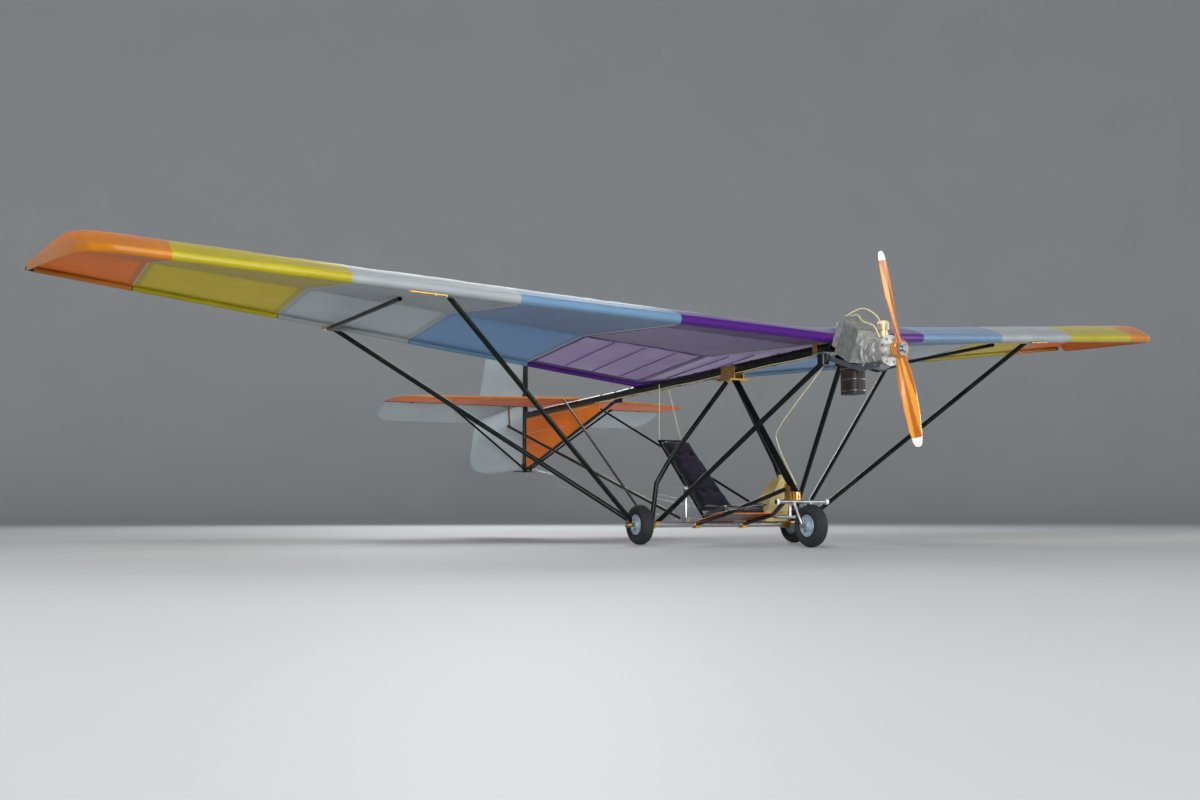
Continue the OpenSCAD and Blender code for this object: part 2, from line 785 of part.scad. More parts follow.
module cylinder_head() {
    color("silver") along_cylinder() {
        translate([-head_side / 2, -head_side / 2, root_gap + block_h + 2 * seat_gap])
            cube([head_side, head_side, cyl_head_h]);
        translate([0, 0, root_gap + block_h + cyl_head_h - 10]) cylinder(h = 50, d = 26);
    }
}

module carburettor() {
    c = at(0, case_y + 60, prop_z + case_r + seat_gap);
    color("wheat") {
        translate(c) cylinder(h = 42, d = 48);
        translate(c + [0, 0, 40]) cylinder(h = 34, d = 70);
    }
}

// Flat drum that hangs below the finned block
module muffler() {
    half = [48, 72];
    corner = 30;
    c = case_y + 338;
    neck_low = 1066;
    outline = concat(
        arc([half[0] - corner, half[1] - corner], corner, 0, 90),
        arc([-half[0] + corner, half[1] - corner], corner, 90, 180),
        arc([-half[0] + corner, -half[1] + corner], corner, 180, 270),
        arc([half[0] - corner, -half[1] + corner], corner, 270, 360));
    color("dimgray") {
        translate(at(0, c, 896)) linear_extrude(neck_low - 896) polygon(outline);
        difference() {
            translate(at(0, c, neck_low - 5)) cylinder(h = 90, d = 56);
            along_cylinder() translate([-200, fin_side / 2 + seat_gap - 400, -200]) cube([400, 400, 800]);
        }
    }
}

// Plates from the nose of the keel to the crankcase, with the cross plate over the two cups
module engine_mount() {
    plate_x = 58;
    t = 6;
    low_z = prop_z - sqrt(case_r * case_r - (plate_x - t / 2) * (plate_x - t / 2)) - seat_gap;
    outline = [[mount_y + 50, mount_low + 8], [mount_y - 44, mount_low + 8], [mount_y - 60, mount_low - 16],
        [case_y + 236, low_z - 2], [case_y + 130, low_z], [case_y + 20, low_z],
        [case_y + 20, low_z - 30], [case_y + 190, low_z - 44],
        [mount_y - 44, mount_low - 42], [mount_y - 36, mount_low], [mount_y + 50, mount_low]];
    color("gray") {
        translate(at(-100, mount_y - 44, mount_low)) cube([200, 104, 11]);
        both_sides() side_plate(outline, plate_x, t);
    }
}

// ---- Propeller ----

// One blade: distance along it as a share of the radius, chord, thickness, pitch in degrees
blade = [[0.08, 46, 36, 40], [0.16, 66, 32, 42], [0.28, 84, 24, 32], [0.45, 96, 16, 24],
    [0.65, 92, 11, 18], [0.85, 76, 8, 14], [0.96, 58, 6, 12], [1, 36, 4, 12]];

function blade_ring(b) =
    [for (a = [0:30:330])
        let (u = b[1] / 2 * cos(a), v = b[2] / 2 * sin(a))
        [u * cos(b[3]) - v * sin(b[3]), u * sin(b[3]) + v * cos(b[3]), b[0] * prop_d / 2]];

// The blades' section has x across and y along the shaft; z runs out along the blade
module propeller() {
    color("orange") translate(at(0, prop_y, prop_z)) rotate([0, -prop_angle, 0]) {
        for (turn = [0, 180]) rotate([0, turn, 0]) skin([for (b = blade) blade_ring(b)]);
        rotate([90, 0, 0]) translate([0, 0, -22]) cylinder(h = 44, r = 52);
    }
}

module propeller_hub() {
    color("silver") translate(at(0, prop_y, prop_z)) rotate([90, 0, 0]) {
        translate([0, 0, 22 + seat_gap]) cylinder(h = 6, r = 38);
        translate([0, 0, 28]) cylinder(h = hub_front - 28, r = 16);
        translate([0, 0, -28 - seat_gap]) cylinder(h = 6, r = 40);
        translate([0, 0, -110]) cylinder(h = 85, d = 30);
    }
}

// ---- Tail ----

post_y = rudder_y - 48;
keel_rear_y = post_y - tail_tube_d / 2 - 1.2;
foot_block = [44, 86, 40];
foot_low = rudder_low_z - 44;
// Line of the fin's leading tube
fin_tube_y = [1400, 3060];
fin_tube_slope = (foot_low + foot_block[2] - 8 - keel_z(fin_tube_y[0]) + keel_d / 2)
    / (fin_tube_y[1] - fin_tube_y[0]);
function fin_tube_z(y) = keel_z(fin_tube_y[0]) - keel_d / 2 + (y - fin_tube_y[0]) * fin_tube_slope;

// Fabric fin between its leading tube, the keel and the tail post
module fin() {
    y0 = 1720;
    y1 = post_y - tail_tube_d / 2 - seat_gap;
    rise = (tail_tube_d / 2 + seat_gap) / cos(atan(fin_tube_slope));
    drop = (keel_d / 2 + seat_gap) / cos(keel_fall);
    low = foot_low + foot_block[2] + 12;
    y2 = fin_tube_y[0] + (low - rise - fin_tube_z(fin_tube_y[0])) / fin_tube_slope;
    outline = [[y0, fin_tube_z(y0) + rise], [y0, keel_z(y0) - drop],
        [y1, keel_z(y1) - drop], [y1, low], [y2, low]];
    color("orange") side_plate(outline, 0, tail_t * 0.6);
}

// Leading tube of the fin, with the saddle that holds it to the keel
module fin_frame() {
    saddle_y = keel_sleeve_y + 60;
    color("darkslategray") difference() {
        union() {
            within(at(-far, -far, foot_low + foot_block[2] + seat_gap), at(far, far, far))
                rod(at(0, fin_tube_y[0], fin_tube_z(fin_tube_y[0])),
                    at(0, fin_tube_y[1], fin_tube_z(fin_tube_y[1])), tail_tube_d);
            translate(at(-12, saddle_y, keel_z(saddle_y) - keel_d / 2 - 36)) cube([24, 70, 50]);
        }
        rod(keel_at(saddle_y - 50), keel_at(saddle_y + 500), keel_d + 2 * seat_gap);
    }
}

ring_t = 12;
ring_z = [rudder_low_z + 20, stab_z + 90, rudder_high_z - 60];
ring_d = 34;
rudder_tube_d = tail_tube_d - 3;

// Upright post behind the keel, with the three rings that the rudder's tube turns in
module tail_post() {
    color("darkslategray") difference() {
        union() {
            translate(at(0, post_y, foot_low)) cylinder(h = rudder_high_z - foot_low - 14, d = tail_tube_d);
            for (z = ring_z) {
                translate(at(-8, post_y, z)) cube([16, rudder_y - post_y, ring_t]);
                translate(at(0, rudder_y, z)) cylinder(h = ring_t, d = ring_d);
            }
            translate(at(-foot_block[0] / 2, post_y + 12 - foot_block[1], foot_low)) cube(foot_block);
        }
        for (z = ring_z) translate(at(0, rudder_y, z - 1)) cylinder(h = ring_t + 2, d = rudder_tube_d + 0.2);
        translate(at(-foot_block[0], post_y - 54, foot_low + 14))
            rotate([0, 90, 0]) cylinder(h = 2 * foot_block[0], r = eye_r);
    }
}

// Outline of one half of the stabilizer, x outboard, y aft of the main axle
module stabilizer() {
    tip_r = 240;
    root_x = 16;
    outline = concat([[root_x, hinge_y], [root_x, stab_front_y], [stab_half - 420, stab_front_y + 280]],
        arc([stab_half - tip_r, stab_front_y + 370 + tip_r], tip_r, -75, 0, 6),
        [[stab_half, hinge_y]]);
    color("orange") both_sides()
        translate(at(0, 0, stab_z - tail_t / 2)) linear_extrude(tail_t) polygon(outline);
}

module stabilizer_struts() {
    color("darkslategray") both_sides()
        within(at(foot_block[0] / 2 + seat_gap, -far, 0), at(far, far, stab_z - tail_t / 2 - seat_gap))
            rod(at(800, hinge_y - 24, stab_z), at(0, post_y - 26, foot_low + 6), 18);
}

// Long braces from the axle to the front of the stabilizer
module tail_braces() {
    brace_d = 18;
    tilt = 4;
    foot = at(foot_x + 5, axle_d / 2 + 6 + seat_gap + tilt, cross_z + 12);
    color("darkslategray") both_sides()
        within(at(0, 0, 0), at(far, far, stab_z - tail_t / 2 - seat_gap))
            rod(foot, at(96, stab_front_y + 80, stab_z + 20), brace_d);
}

elevator_c = elevator_chord - elevator_tube_d / 2 - 5;
hinge_x = [250, 1100];
hinge_w = 14;
hinge_d = 31;

// Rings on the stabilizer that the elevator's tube turns in
module elevator_hinges() {
    arm_z = tail_t / 2 + 8;
    color("darkslategray") difference() {
        both_sides() for (x = hinge_x) {
            rod(at(x - hinge_w / 2, elevator_y, stab_z), at(x + hinge_w / 2, elevator_y, stab_z), hinge_d);
            translate(at(x - hinge_w / 2, hinge_y - 40, stab_z + tail_t / 2 + seat_gap))
                cube([hinge_w, 40 + elevator_y - hinge_y, 5]);
        }
        rod(at(-stab_half, elevator_y, stab_z), at(stab_half, elevator_y, stab_z), elevator_tube_d + 0.2);
    }
}

// Both elevator halves hang on one tube; their inner ends leave room for the rudder
module elevators() {
    tip_r = 190;
    panel_t = tail_t * 0.8;
    outline = concat([[120, 0], [stab_half, 0]],
        arc([stab_half - tip_r, elevator_c - tip_r], tip_r, 0, 90, 6),
        arc([440, elevator_c - 60], 60, 90, 135, 3));
    color("whitesmoke") translate(at(0, elevator_y, stab_z)) {
        rotate([-elevator_droop, 0, 0]) difference() {
            both_sides() translate([0, 0, -panel_t / 2]) linear_extrude(panel_t) polygon(outline);
            for (x = hinge_x, s = [-1, 1])
                translate([s * x, 0, 0]) rotate([0, 90, 0])
                    cylinder(h = hinge_w + 10, d = hinge_d + 10, center = true);
            translate([horn_x - horn_t, -20, -panel_t]) cube([2 * horn_t, 80, 2 * panel_t]);
        }
        rotate([0, 90, 0]) cylinder(h = 2 * stab_half, d = elevator_tube_d, center = true);
    }
}

module elevator_horn() {
    tip_y = horn_tip[1] - axle_y;
    color("tan") difference() {
        side_plate([[elevator_y, stab_z + 16], [elevator_y + 26, stab_z + 16], [elevator_y + 26, stab_z - 30],
            [tip_y + 14, horn_tip[2] - 14], [tip_y - 14, horn_tip[2] - 14]], horn_x, horn_t);
        rod(at(horn_x - 10, elevator_y, stab_z), at(horn_x + 10, elevator_y, stab_z), elevator_tube_d + 0.4);
    }
}

// Outline of the rudder: distance from its axis, height
rudder_tip_r = 170;
rudder_foot_r = 130;
rudder_front = rudder_tube_d / 2 + seat_gap;
rudder_outline = concat(
    [[rudder_front, rudder_low_z - 14], [380, rudder_low_z - 48]],
    arc([rudder_chord - rudder_foot_r, rudder_low_z - 34 + rudder_foot_r], rudder_foot_r, -80, 10, 9),
    arc([rudder_chord - 215 - rudder_tip_r, rudder_high_z - 118], rudder_tip_r, 8, 90, 6),
    [[60, rudder_high_z + 52], [rudder_front, rudder_high_z]]);

module rudder() {
    color("whitesmoke") translate(at(0, rudder_y, 0)) difference() {
        rotate([90, 0, 90 + rudder_rest]) translate([0, 0, -tail_t * 0.4])
            linear_extrude(tail_t * 0.8) polygon(rudder_outline);
        for (z = ring_z) translate([0, 0, z - 5]) cylinder(h = ring_t + 10, d = ring_d + 10);
    }
}

// The rudder's tube, with the cross arm at its foot that the cables pull
module rudder_tube() {
    arm_h = 8;
    arm_l = 260;
    color("darkslategray") translate(at(0, rudder_y, rudder_low_z - 40)) {
        cylinder(h = rudder_high_z - rudder_low_z + 60, d = rudder_tube_d);
        rotate([0, 0, rudder_rest]) translate([-arm_l / 2, -8, 0]) cube([arm_l, 16, arm_h]);
    }
}

keel_tube();
nose_bracket();
keel_bracket();
leading_edge_tubes();
trailing_edge_tubes();
sail_centre();
sail_blue();
sail_white();
sail_yellow();
sail_tip();
front_lift_struts();
rear_lift_struts();
drag_struts();
strut_fittings();
forward_strut();
side_tubes();
nose_tubes();
seat_rails();
axle_tube();
axle_brackets();
steering_head();
heel_bar();
steering_fork();
foot_bar();
left_tyre();
left_rim();
right_tyre();
right_rim();
nose_tyre();
nose_rim();
seat_pan();
seat_cushion();
seat_back_frame();
seat_back_cushions();
seat_straps();
fuel_tank();
control_stick();
elevator_pushrod();
crankcase();
cylinder_block();
cylinder_head();
carburettor();
muffler();
engine_mount();
propeller();
propeller_hub();
fin();
fin_frame();
tail_post();
stabilizer();
stabilizer_struts();
tail_braces();
elevator_hinges();
elevators();
elevator_horn();
rudder();
rudder_tube();
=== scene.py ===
"""Looks of a single-seat microlight aircraft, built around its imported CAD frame.

Sizes are millimetres from the main axle unless a name ends in _m. +X is port, +Y is aft, +Z is up.
"""

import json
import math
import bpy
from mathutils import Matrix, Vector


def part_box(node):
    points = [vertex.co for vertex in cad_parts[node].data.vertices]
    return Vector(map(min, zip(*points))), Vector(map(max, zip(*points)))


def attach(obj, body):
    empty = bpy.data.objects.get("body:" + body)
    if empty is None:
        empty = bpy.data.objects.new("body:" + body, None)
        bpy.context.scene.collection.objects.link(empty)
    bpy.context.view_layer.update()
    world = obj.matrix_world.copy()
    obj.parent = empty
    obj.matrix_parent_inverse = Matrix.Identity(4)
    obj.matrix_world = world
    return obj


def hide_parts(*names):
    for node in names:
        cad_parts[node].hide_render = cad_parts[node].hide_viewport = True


bl_info = {
    "name": "Microlight aircraft",
    "version": (1, 0, 0),
    "blender": (4, 5, 0),
    "location": "View3D > Sidebar > Microlight",
    "description": "Sailcloth, tubes, engine, wheels, seat and studio of a single-seat microlight",
    "category": "Object",
}

import bmesh
import bpy
import numpy as np
from mathutils import Matrix, Vector, noise
from mathutils.geometry import delaunay_2d_cdt

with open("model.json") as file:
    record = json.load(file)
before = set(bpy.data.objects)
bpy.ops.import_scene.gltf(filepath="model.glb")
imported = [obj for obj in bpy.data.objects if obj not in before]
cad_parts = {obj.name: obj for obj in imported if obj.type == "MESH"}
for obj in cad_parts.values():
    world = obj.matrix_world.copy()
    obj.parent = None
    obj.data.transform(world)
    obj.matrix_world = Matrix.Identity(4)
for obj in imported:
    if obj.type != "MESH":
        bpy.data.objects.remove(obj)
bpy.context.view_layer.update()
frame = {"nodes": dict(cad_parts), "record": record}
CAD_BOX = {node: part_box(node) for node in frame["nodes"]}
AXLE_Y = (CAD_BOX["left_rim"][0].y + CAD_BOX["left_rim"][1].y) * 500
BODY_OF = {
    node: body
    for body, nodes in frame["record"]["behaviour"]["bodies"].items()
    for node in nodes
}
SLOT_OF = {row["node"]: row["material_slot"] for row in frame["record"]["subparts"]}


def at(x, y, z):
    """A point in millimetres from the main axle, in the row frame in metres."""
    return Vector((x, y + AXLE_Y, z)) / 1000


# ---- Settings ----


def number(name, description, default, **more):
    return bpy.props.FloatProperty(name=name, description=description, default=default, **more)


def colour(name, default):
    linear = tuple(linear_rgb(default))
    return bpy.props.FloatVectorProperty(
        name=name, description=f"Colour of the {name.lower()}", default=linear,
        size=4, min=0, max=1, subtype="COLOR")


def linear_rgb(code):
    """Scene-linear red, green, blue and alpha of an sRGB hex code."""
    parts = [int(code[i : i + 2], 16) / 255 for i in (1, 3, 5)]
    return [p / 12.92 if p <= 0.04045 else ((p + 0.055) / 1.055) ** 2.4 for p in parts] + [1.0]


class MicrolightSettings(bpy.types.PropertyGroup):
    """Sizes and colours that change the look of the aircraft."""

    wrinkle: number("Wrinkles", "Depth of the wrinkles in the wing's lower skin", 0.005,
                    min=0, max=0.02, unit="LENGTH")
    batten_gap: number("Batten gap", "Distance between the battens", 0.3047,
                       min=0.2, max=0.6, unit="LENGTH")
    cable: number("Cable", "Diameter of the steel cables", 0.003, min=0.001, max=0.01, unit="LENGTH")
    violet: colour("Violet sailcloth", "#5B1690")
    lilac: colour("Lilac sailcloth", "#D9CCE8")
    blue: colour("Blue sailcloth", "#8CB8DC")
    white: colour("White sailcloth", "#CDD5D8")
    yellow: colour("Yellow sailcloth", "#E3D400")
    orange: colour("Orange sailcloth", "#F39A0A")
    floor: colour("Studio floor", "#C9CBCC")


def settings():
    return bpy.context.scene.microlight


# ---- Materials ----


def add(tree, kind, inputs=None, **props):
    """Adds one node with its settings, and its inputs as constants or links."""
    node = tree.nodes.new(kind)
    for key, value in props.items():
        setattr(node, key, value)
    for key, value in (inputs or {}).items():
        if isinstance(value, bpy.types.NodeSocket):
            tree.links.new(value, node.inputs[key])
        else:
            node.inputs[key].default_value = value
    return node


def ramp(tree, factor, stops):
    node = add(tree, "ShaderNodeValToRGB", {"Fac": factor})
    elements = node.color_ramp.elements
    while len(elements) < len(stops):
        elements.new(0.5)
    for element, (place, value) in zip(elements, stops):
        element.position = place
        element.color = value if len(value) == 4 else (*value, 1)
    return node.outputs["Color"]


def shader(name, base, rough=0.5, metal=0.0, grain=60.0, wear=0.06, bump=0.0, bump_scale=None,
           stretch=(1, 1, 1), tint=0.12, **more):
    """A Principled material whose colour, roughness and surface vary with noise in object space.

    grain is the noise's cells per metre, wear the swing of its roughness and tint that of its colour.
    """
    material = bpy.data.materials.get(name) or bpy.data.materials.new(name)
    material.use_nodes = True
    tree = material.node_tree
    tree.nodes.clear()
    place = add(tree, "ShaderNodeTexCoord").outputs["Object"]
    mapped = add(tree, "ShaderNodeMapping", {"Vector": place, "Scale": stretch}).outputs["Vector"]
    cloud = add(tree, "ShaderNodeTexNoise", {"Vector": mapped, "Scale": grain, "Detail": 5.0}).outputs["Fac"]
    dark = [c * (1 - tint) for c in base[:3]]
    light = [min(1, c * (1 + tint) + tint * 0.02) for c in base[:3]]
    inputs = {
        "Base Color": ramp(tree, cloud, [(0.3, dark), (0.7, light)]),
        "Metallic": metal,
        "Roughness": add(tree, "ShaderNodeMapRange",
                         {"Value": cloud, "To Min": max(0, rough - wear),
                          "To Max": rough + wear}).outputs["Result"],
    }
    if bump:
        fine = add(tree, "ShaderNodeTexNoise",
                   {"Vector": mapped, "Scale": bump_scale or grain * 8, "Detail": 3.0}).outputs["Fac"]
        inputs["Normal"] = add(tree, "ShaderNodeBump",
                               {"Height": fine, "Strength": 0.5, "Distance": bump}).outputs["Normal"]
    inputs.update(more)
    surface = add(tree, "ShaderNodeBsdfPrincipled", inputs)
    output = add(tree, "ShaderNodeOutputMaterial", {"Surface": surface.outputs["BSDF"]})
    return material, tree, surface, output


def sailcloth(name, base, glow=0.5, face_colour_and_sheen=None):
    """Coated polyester sailcloth, thin enough for light to come through and crinkled all over.

    The glow gives the bright, even colour of a lit wing. The optional last colour is the cloth's pale face
    with a painted sheen: it shows where the cloth faces the eye and shades halfway to the base colour
    toward grazing angles and in loose patches.
    """
    material, tree, surface, output = shader(
        name, base, rough=0.42, grain=5, tint=0.08, bump=0.0016, bump_scale=26,
        **{"Sheen Weight": 0.3, "Sheen Roughness": 0.4, "Coat Weight": 0.15, "Coat Roughness": 0.3})
    place = add(tree, "ShaderNodeTexCoord").outputs["Object"]
    # Creases left by folding: long thin cells about 90 mm across
    crease = add(tree, "ShaderNodeTexVoronoi", {"Vector": place, "Scale": 11.0, "Randomness": 1.0},
                 feature="DISTANCE_TO_EDGE").outputs["Distance"]
    sharp = add(tree, "ShaderNodeMapRange", {"Value": crease, "From Max": 0.09}).outputs["Result"]
    old = surface.inputs["Normal"].links[0].from_socket
    folded = add(tree, "ShaderNodeBump",
                 {"Height": sharp, "Normal": old, "Strength": 0.22, "Distance": 0.0015}).outputs["Normal"]
    tree.links.new(folded, surface.inputs["Normal"])
    if face_colour_and_sheen:
        # Painted sheen: the face colour where the cloth faces the eye, shading toward the base colour at grazing
        # angles
        facing = add(tree, "ShaderNodeLayerWeight", {"Blend": 0.45, "Normal": folded}).outputs["Facing"]
        patch = add(tree, "ShaderNodeTexNoise", {"Vector": place, "Scale": 2.2, "Detail": 4.0}).outputs["Fac"]
        amount = add(tree, "ShaderNodeMath", {0: facing, 1: 0.75, 2: patch},
                     operation="MULTIPLY_ADD").outputs["Value"]
        sheen = ramp(tree, amount, [(0.8, face_colour_and_sheen), (1.0, [(a + b) / 2 for a, b in zip(face_colour_and_sheen, base)])])
        tree.links.new(sheen, surface.inputs["Base Color"])
        base = face_colour_and_sheen
    through = add(tree, "ShaderNodeBsdfTranslucent", {"Color": base, "Normal": folded})
    both = add(tree, "ShaderNodeMixShader",
               {"Fac": glow, 1: surface.outputs["BSDF"], 2: through.outputs["BSDF"]})
    tree.links.new(both.outputs["Shader"], output.inputs["Surface"])
    return material


def laminated_wood(name):
    """Varnished beech laminations about 9 mm thick; the pale tip coat past 0.47 m radius is another material."""
    pale, dark = linear_rgb("#E59A2B"), linear_rgb("#B4600F")
    material, tree, surface, _ = shader(name, pale, rough=0.24, grain=30, stretch=(6, 6, 0.6), tint=0.05,
                                        **{"Coat Weight": 0.9, "Coat Roughness": 0.06})
    place = add(tree, "ShaderNodeTexCoord").outputs["Object"]
    layers = add(tree, "ShaderNodeTexWave", {"Vector": place, "Scale": 17.0, "Distortion": 0.6,
                                             "Detail": 2.0, "Detail Scale": 2.0},
                 bands_direction="Y").outputs["Fac"]
    tree.links.new(ramp(tree, layers, [(0.25, dark), (0.6, pale)]), surface.inputs["Base Color"])
    return material


MATERIALS = {}


def material(name):
    return MATERIALS[name]


def build_materials():
    s = settings()
    table = {
        # Anodised drawn tube: near black with a green cast, its gloss broken along the length
        "frame_tube": dict(base=linear_rgb("#18211C"), rough=0.3, metal=0.75, grain=9, tint=0.25, wear=0.1,
                           bump=0.0002),
        # Plain drawn alloy tube: light grey with soft dull streaks
        "bare_alloy": dict(base=linear_rgb("#C6C8C7"), rough=0.34, metal=1.0, grain=22, tint=0.1, wear=0.12),
        # Gold anodised plate: warm, half matt, patchy
        "gold_alloy": dict(base=linear_rgb("#C79A45"), rough=0.36, metal=0.9, grain=35, tint=0.18, wear=0.1),
        # Sand-cast alloy: pale grey with a rough skin and dull stains
        "engine_alloy": dict(base=linear_rgb("#BDBFBB"), rough=0.48, metal=0.8, grain=45, tint=0.25, wear=0.12,
                             bump=0.0006, bump_scale=420),
        "bronze_casting": dict(base=linear_rgb("#CFC09A"), rough=0.42, metal=0.6, grain=50, tint=0.18,
                               bump=0.0003),
        # Heat-proof paint burnt to dark brown
        "dark_steel": dict(base=linear_rgb("#2B211B"), rough=0.55, metal=0.35, grain=18, tint=0.35, wear=0.15,
                           bump=0.0004),
        "hub_steel": dict(base=linear_rgb("#9DB0BD"), rough=0.38, metal=0.25, grain=40, tint=0.1),
        "plate_steel": dict(base=linear_rgb("#A4A7A8"), rough=0.3, metal=1.0, grain=14, tint=0.15,
                            stretch=(1, 12, 1)),
        # Tyre rubber: dusty black with a fine skin
        "tyre": dict(base=linear_rgb("#1A1B1C"), rough=0.72, grain=35, tint=0.35, bump=0.0004, bump_scale=700),
        "rod_black": dict(base=linear_rgb("#0E0F10"), rough=0.3, metal=0.4, grain=20, tint=0.3),
        # Vinyl over foam: black, glossy, with a leather grain of about 1 mm
        "cushion": dict(base=linear_rgb("#101113"), rough=0.26, grain=14, tint=0.3, bump=0.0005,
                        bump_scale=900, **{"Coat Weight": 0.4, "Coat Roughness": 0.2}),
        "pan_orange": dict(base=linear_rgb("#D9701A"), rough=0.32, grain=8, tint=0.12,
                           **{"Coat Weight": 0.5, "Coat Roughness": 0.15}),
        # Blow-moulded tank, yellowed: light passes through it
        "tank": dict(base=linear_rgb("#E4CF86"), rough=0.35, grain=7, tint=0.1,
                     **{"Transmission Weight": 0.35, "Subsurface Weight": 0.2}),
        "webbing": dict(base=linear_rgb("#D8CDAA"), rough=0.8, grain=120, tint=0.15, bump=0.0006,
                        bump_scale=500),
        "cable": dict(base=linear_rgb("#B9BCBE"), rough=0.28, metal=1.0, grain=400, tint=0.3),
        "wire_cream": dict(base=linear_rgb("#E2D6A4"), rough=0.4, grain=30, tint=0.1),
        "white_paint": dict(base=linear_rgb("#F1F1EC"), rough=0.25, grain=30, tint=0.05),
        "black_plastic": dict(base=linear_rgb("#131313"), rough=0.4, grain=60, tint=0.2),
        # Sewn thread and folded hems, a little darker than the cloth
        "thread": dict(base=linear_rgb("#E8E6DD"), rough=0.7, grain=300, tint=0.15),
        "studio": dict(base=list(s.floor), rough=0.62, grain=0.6, tint=0.02, wear=0.05),
    }
    for name, row in table.items():
        MATERIALS[name] = shader(name, **row)[0]
    MATERIALS["wood_prop"] = laminated_wood("wood_prop")
    cloths = {"violet": s.violet, "blue": s.blue, "white": s.white, "yellow": s.yellow, "orange": s.orange}
    for name, base in cloths.items():
        base = list(base)
        band = [c * (1.0 if name == "violet" else 0.8) for c in base[:3]] + [1.0]
        MATERIALS[f"cloth_{name}"] = sailcloth(f"cloth_{name}", base)
        MATERIALS[f"band_{name}"] = sailcloth(f"band_{name}", band, glow=0.4)
    # Centre cloth: pale lilac satin over violet, with a painted sheen that shades to violet where the cloth turns
    # from the eye
    MATERIALS["cloth_lilac"] = sailcloth("cloth_lilac", list(s.violet), glow=0.45, face_colour_and_sheen=list(s.lilac))


# ---- Pieces ----


def piece(name, mesh, near, *finishes, hides=(), body=None, slot=None, smooth=40):
    """Links a mesh as a piece that rides with the CAD node near; slot is not used."""
    obj = bpy.data.objects.new(name, mesh)
    bpy.context.scene.collection.objects.link(obj)
    for finish in finishes:
        mesh.materials.append(material(finish))
    mesh.polygons.foreach_set("use_smooth", [True] * len(mesh.polygons))
    mesh.set_sharp_from_angle(angle=math.radians(smooth))
    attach(obj, body or BODY_OF[near])
    if hides:
        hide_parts(*hides)
    return obj


def mesh_of(points, faces, indices=None, name="mesh"):
    mesh = bpy.data.meshes.new(name)
    mesh.from_pydata([tuple(p) for p in points], [], faces)
    if indices is not None:
        mesh.polygons.foreach_set("material_index", indices)
    mesh.update()
    return mesh


def joined(parts, name="joined"):
    """One mesh from several lists of (points, faces, material index)."""
    points, faces, indices = [], [], []
    for part_points, part_faces, index in parts:
        start = len(points)
        points += list(part_points)
        faces += [[start + i for i in f] for f in part_faces]
        indices += [index] * len(part_faces)
    return mesh_of(points, faces, indices, name)


def sweep(path, radius, index=0, sides=12, closed=False, flat=1.0):
    """A round bar along a path in metres; radius is a number or one for each point."""
    path = [Vector(p) for p in path]
    count = len(path)
    radii = [radius] * count if isinstance(radius, (int, float)) else radius
    points = []
    normal = None
    for i, p in enumerate(path):
        before = path[i - 1] if i or closed else path[i]
        after = path[(i + 1) % count] if i + 1 < count or closed else path[i]
        tangent = (after - before).normalized()
        if normal is None:
            normal = tangent.orthogonal().normalized()
        normal = (normal - tangent * normal.dot(tangent)).normalized()
        side = tangent.cross(normal)
        for k in range(sides):
            a = 2 * math.pi * k / sides
            points.append(p + (normal * math.cos(a) + side * math.sin(a) * flat) * radii[i])
    faces = []
    for i in range(count if closed else count - 1):
        j = (i + 1) % count
        for k in range(sides):
            m = (k + 1) % sides
            faces.append([i * sides + k, i * sides + m, j * sides + m, j * sides + k])
    if not closed:
        faces.append(list(range(sides))[::-1])
        faces.append([(count - 1) * sides + k for k in range(sides)])
    return points, faces, index


def curve_through(points, per=8):
    """A smooth path through points, with per steps between each pair."""
    p = [Vector(q) for q in points]
    p = [2 * p[0] - p[1]] + p + [2 * p[-1] - p[-2]]
    path = []
    for i in range(1, len(p) - 2):
        for k in range(per):
            t = k / per
            path.append(0.5 * (2 * p[i] + (p[i + 1] - p[i - 1]) * t
                               + (2 * p[i - 1] - 5 * p[i] + 4 * p[i + 1] - p[i + 2]) * t * t
                               + (3 * p[i] - p[i - 1] - 3 * p[i + 1] + p[i + 2]) * t ** 3))
    return path + [p[-2]]


def lathe(profile, centre, axis, index=0, steps=64):
    """A body of revolution: profile holds (along, radius) in metres, about axis through centre."""
    axis = Vector(axis).normalized()
    u = axis.orthogonal().normalized()
    v = axis.cross(u)
    points, faces = [], []
    count = len(profile)
    for s in range(steps):
        a = 2 * math.pi * s / steps
        out = u * math.cos(a) + v * math.sin(a)
        points += [centre + axis * along + out * r for along, r in profile]
    for s in range(steps):
        n = (s + 1) % steps
        for i in range(count - 1):
            faces.append([s * count + i, n * count + i, n * count + i + 1, s * count + i + 1])
    return points, faces, index


def bolt(centre, axis, size=0.006, index=0, height=None):
    """Hexagon head with a chamfered top on a washer."""
    h = height or size * 0.7
    washer = lathe([(0, 0), (0, size * 1.25), (h * 0.25, size * 1.25), (h * 0.25, 0)], centre, axis, index, 20)
    head = lathe([(h * 0.25, size * 1.0), (h * 0.95, size * 1.0), (h * 1.2, size * 0.8), (h * 1.2, 0)],
                 centre, axis, index, 6)
    return [washer, head]


def finish_mesh(mesh, smooth=40):
    mesh.polygons.foreach_set("use_smooth", [True] * len(mesh.polygons))
    mesh.set_sharp_from_angle(angle=math.radians(smooth))


# ---- Wing ----

SWEEP, RISE = math.tan(math.radians(14.2)), math.tan(math.radians(5.1))
TAPER, AFT_RISE = math.tan(math.radians(2)), math.tan(math.radians(6.7))
BAY, HALF_SPAN = 914.0, 4270.0
NOSE_R, TE_R = 29.285, 16.3
CAMBER, CREASE, CREASE_AT = 132.0, 82.0, 0.57
KEEL_FRONT, KEEL_FALL = (-1255, 1192), math.tan(math.radians(1.7))
# Share of the chord and height of the upper skin between the nose and the crease
UPPER = [(0.44, 0.9), (0.34, 1.0), (0.24, 0.99), (0.14, 0.86), (0.06, 0.58)]
AFT = [(0.7, 0.27), (0.35, 0.62), (0.0, 1.0)]
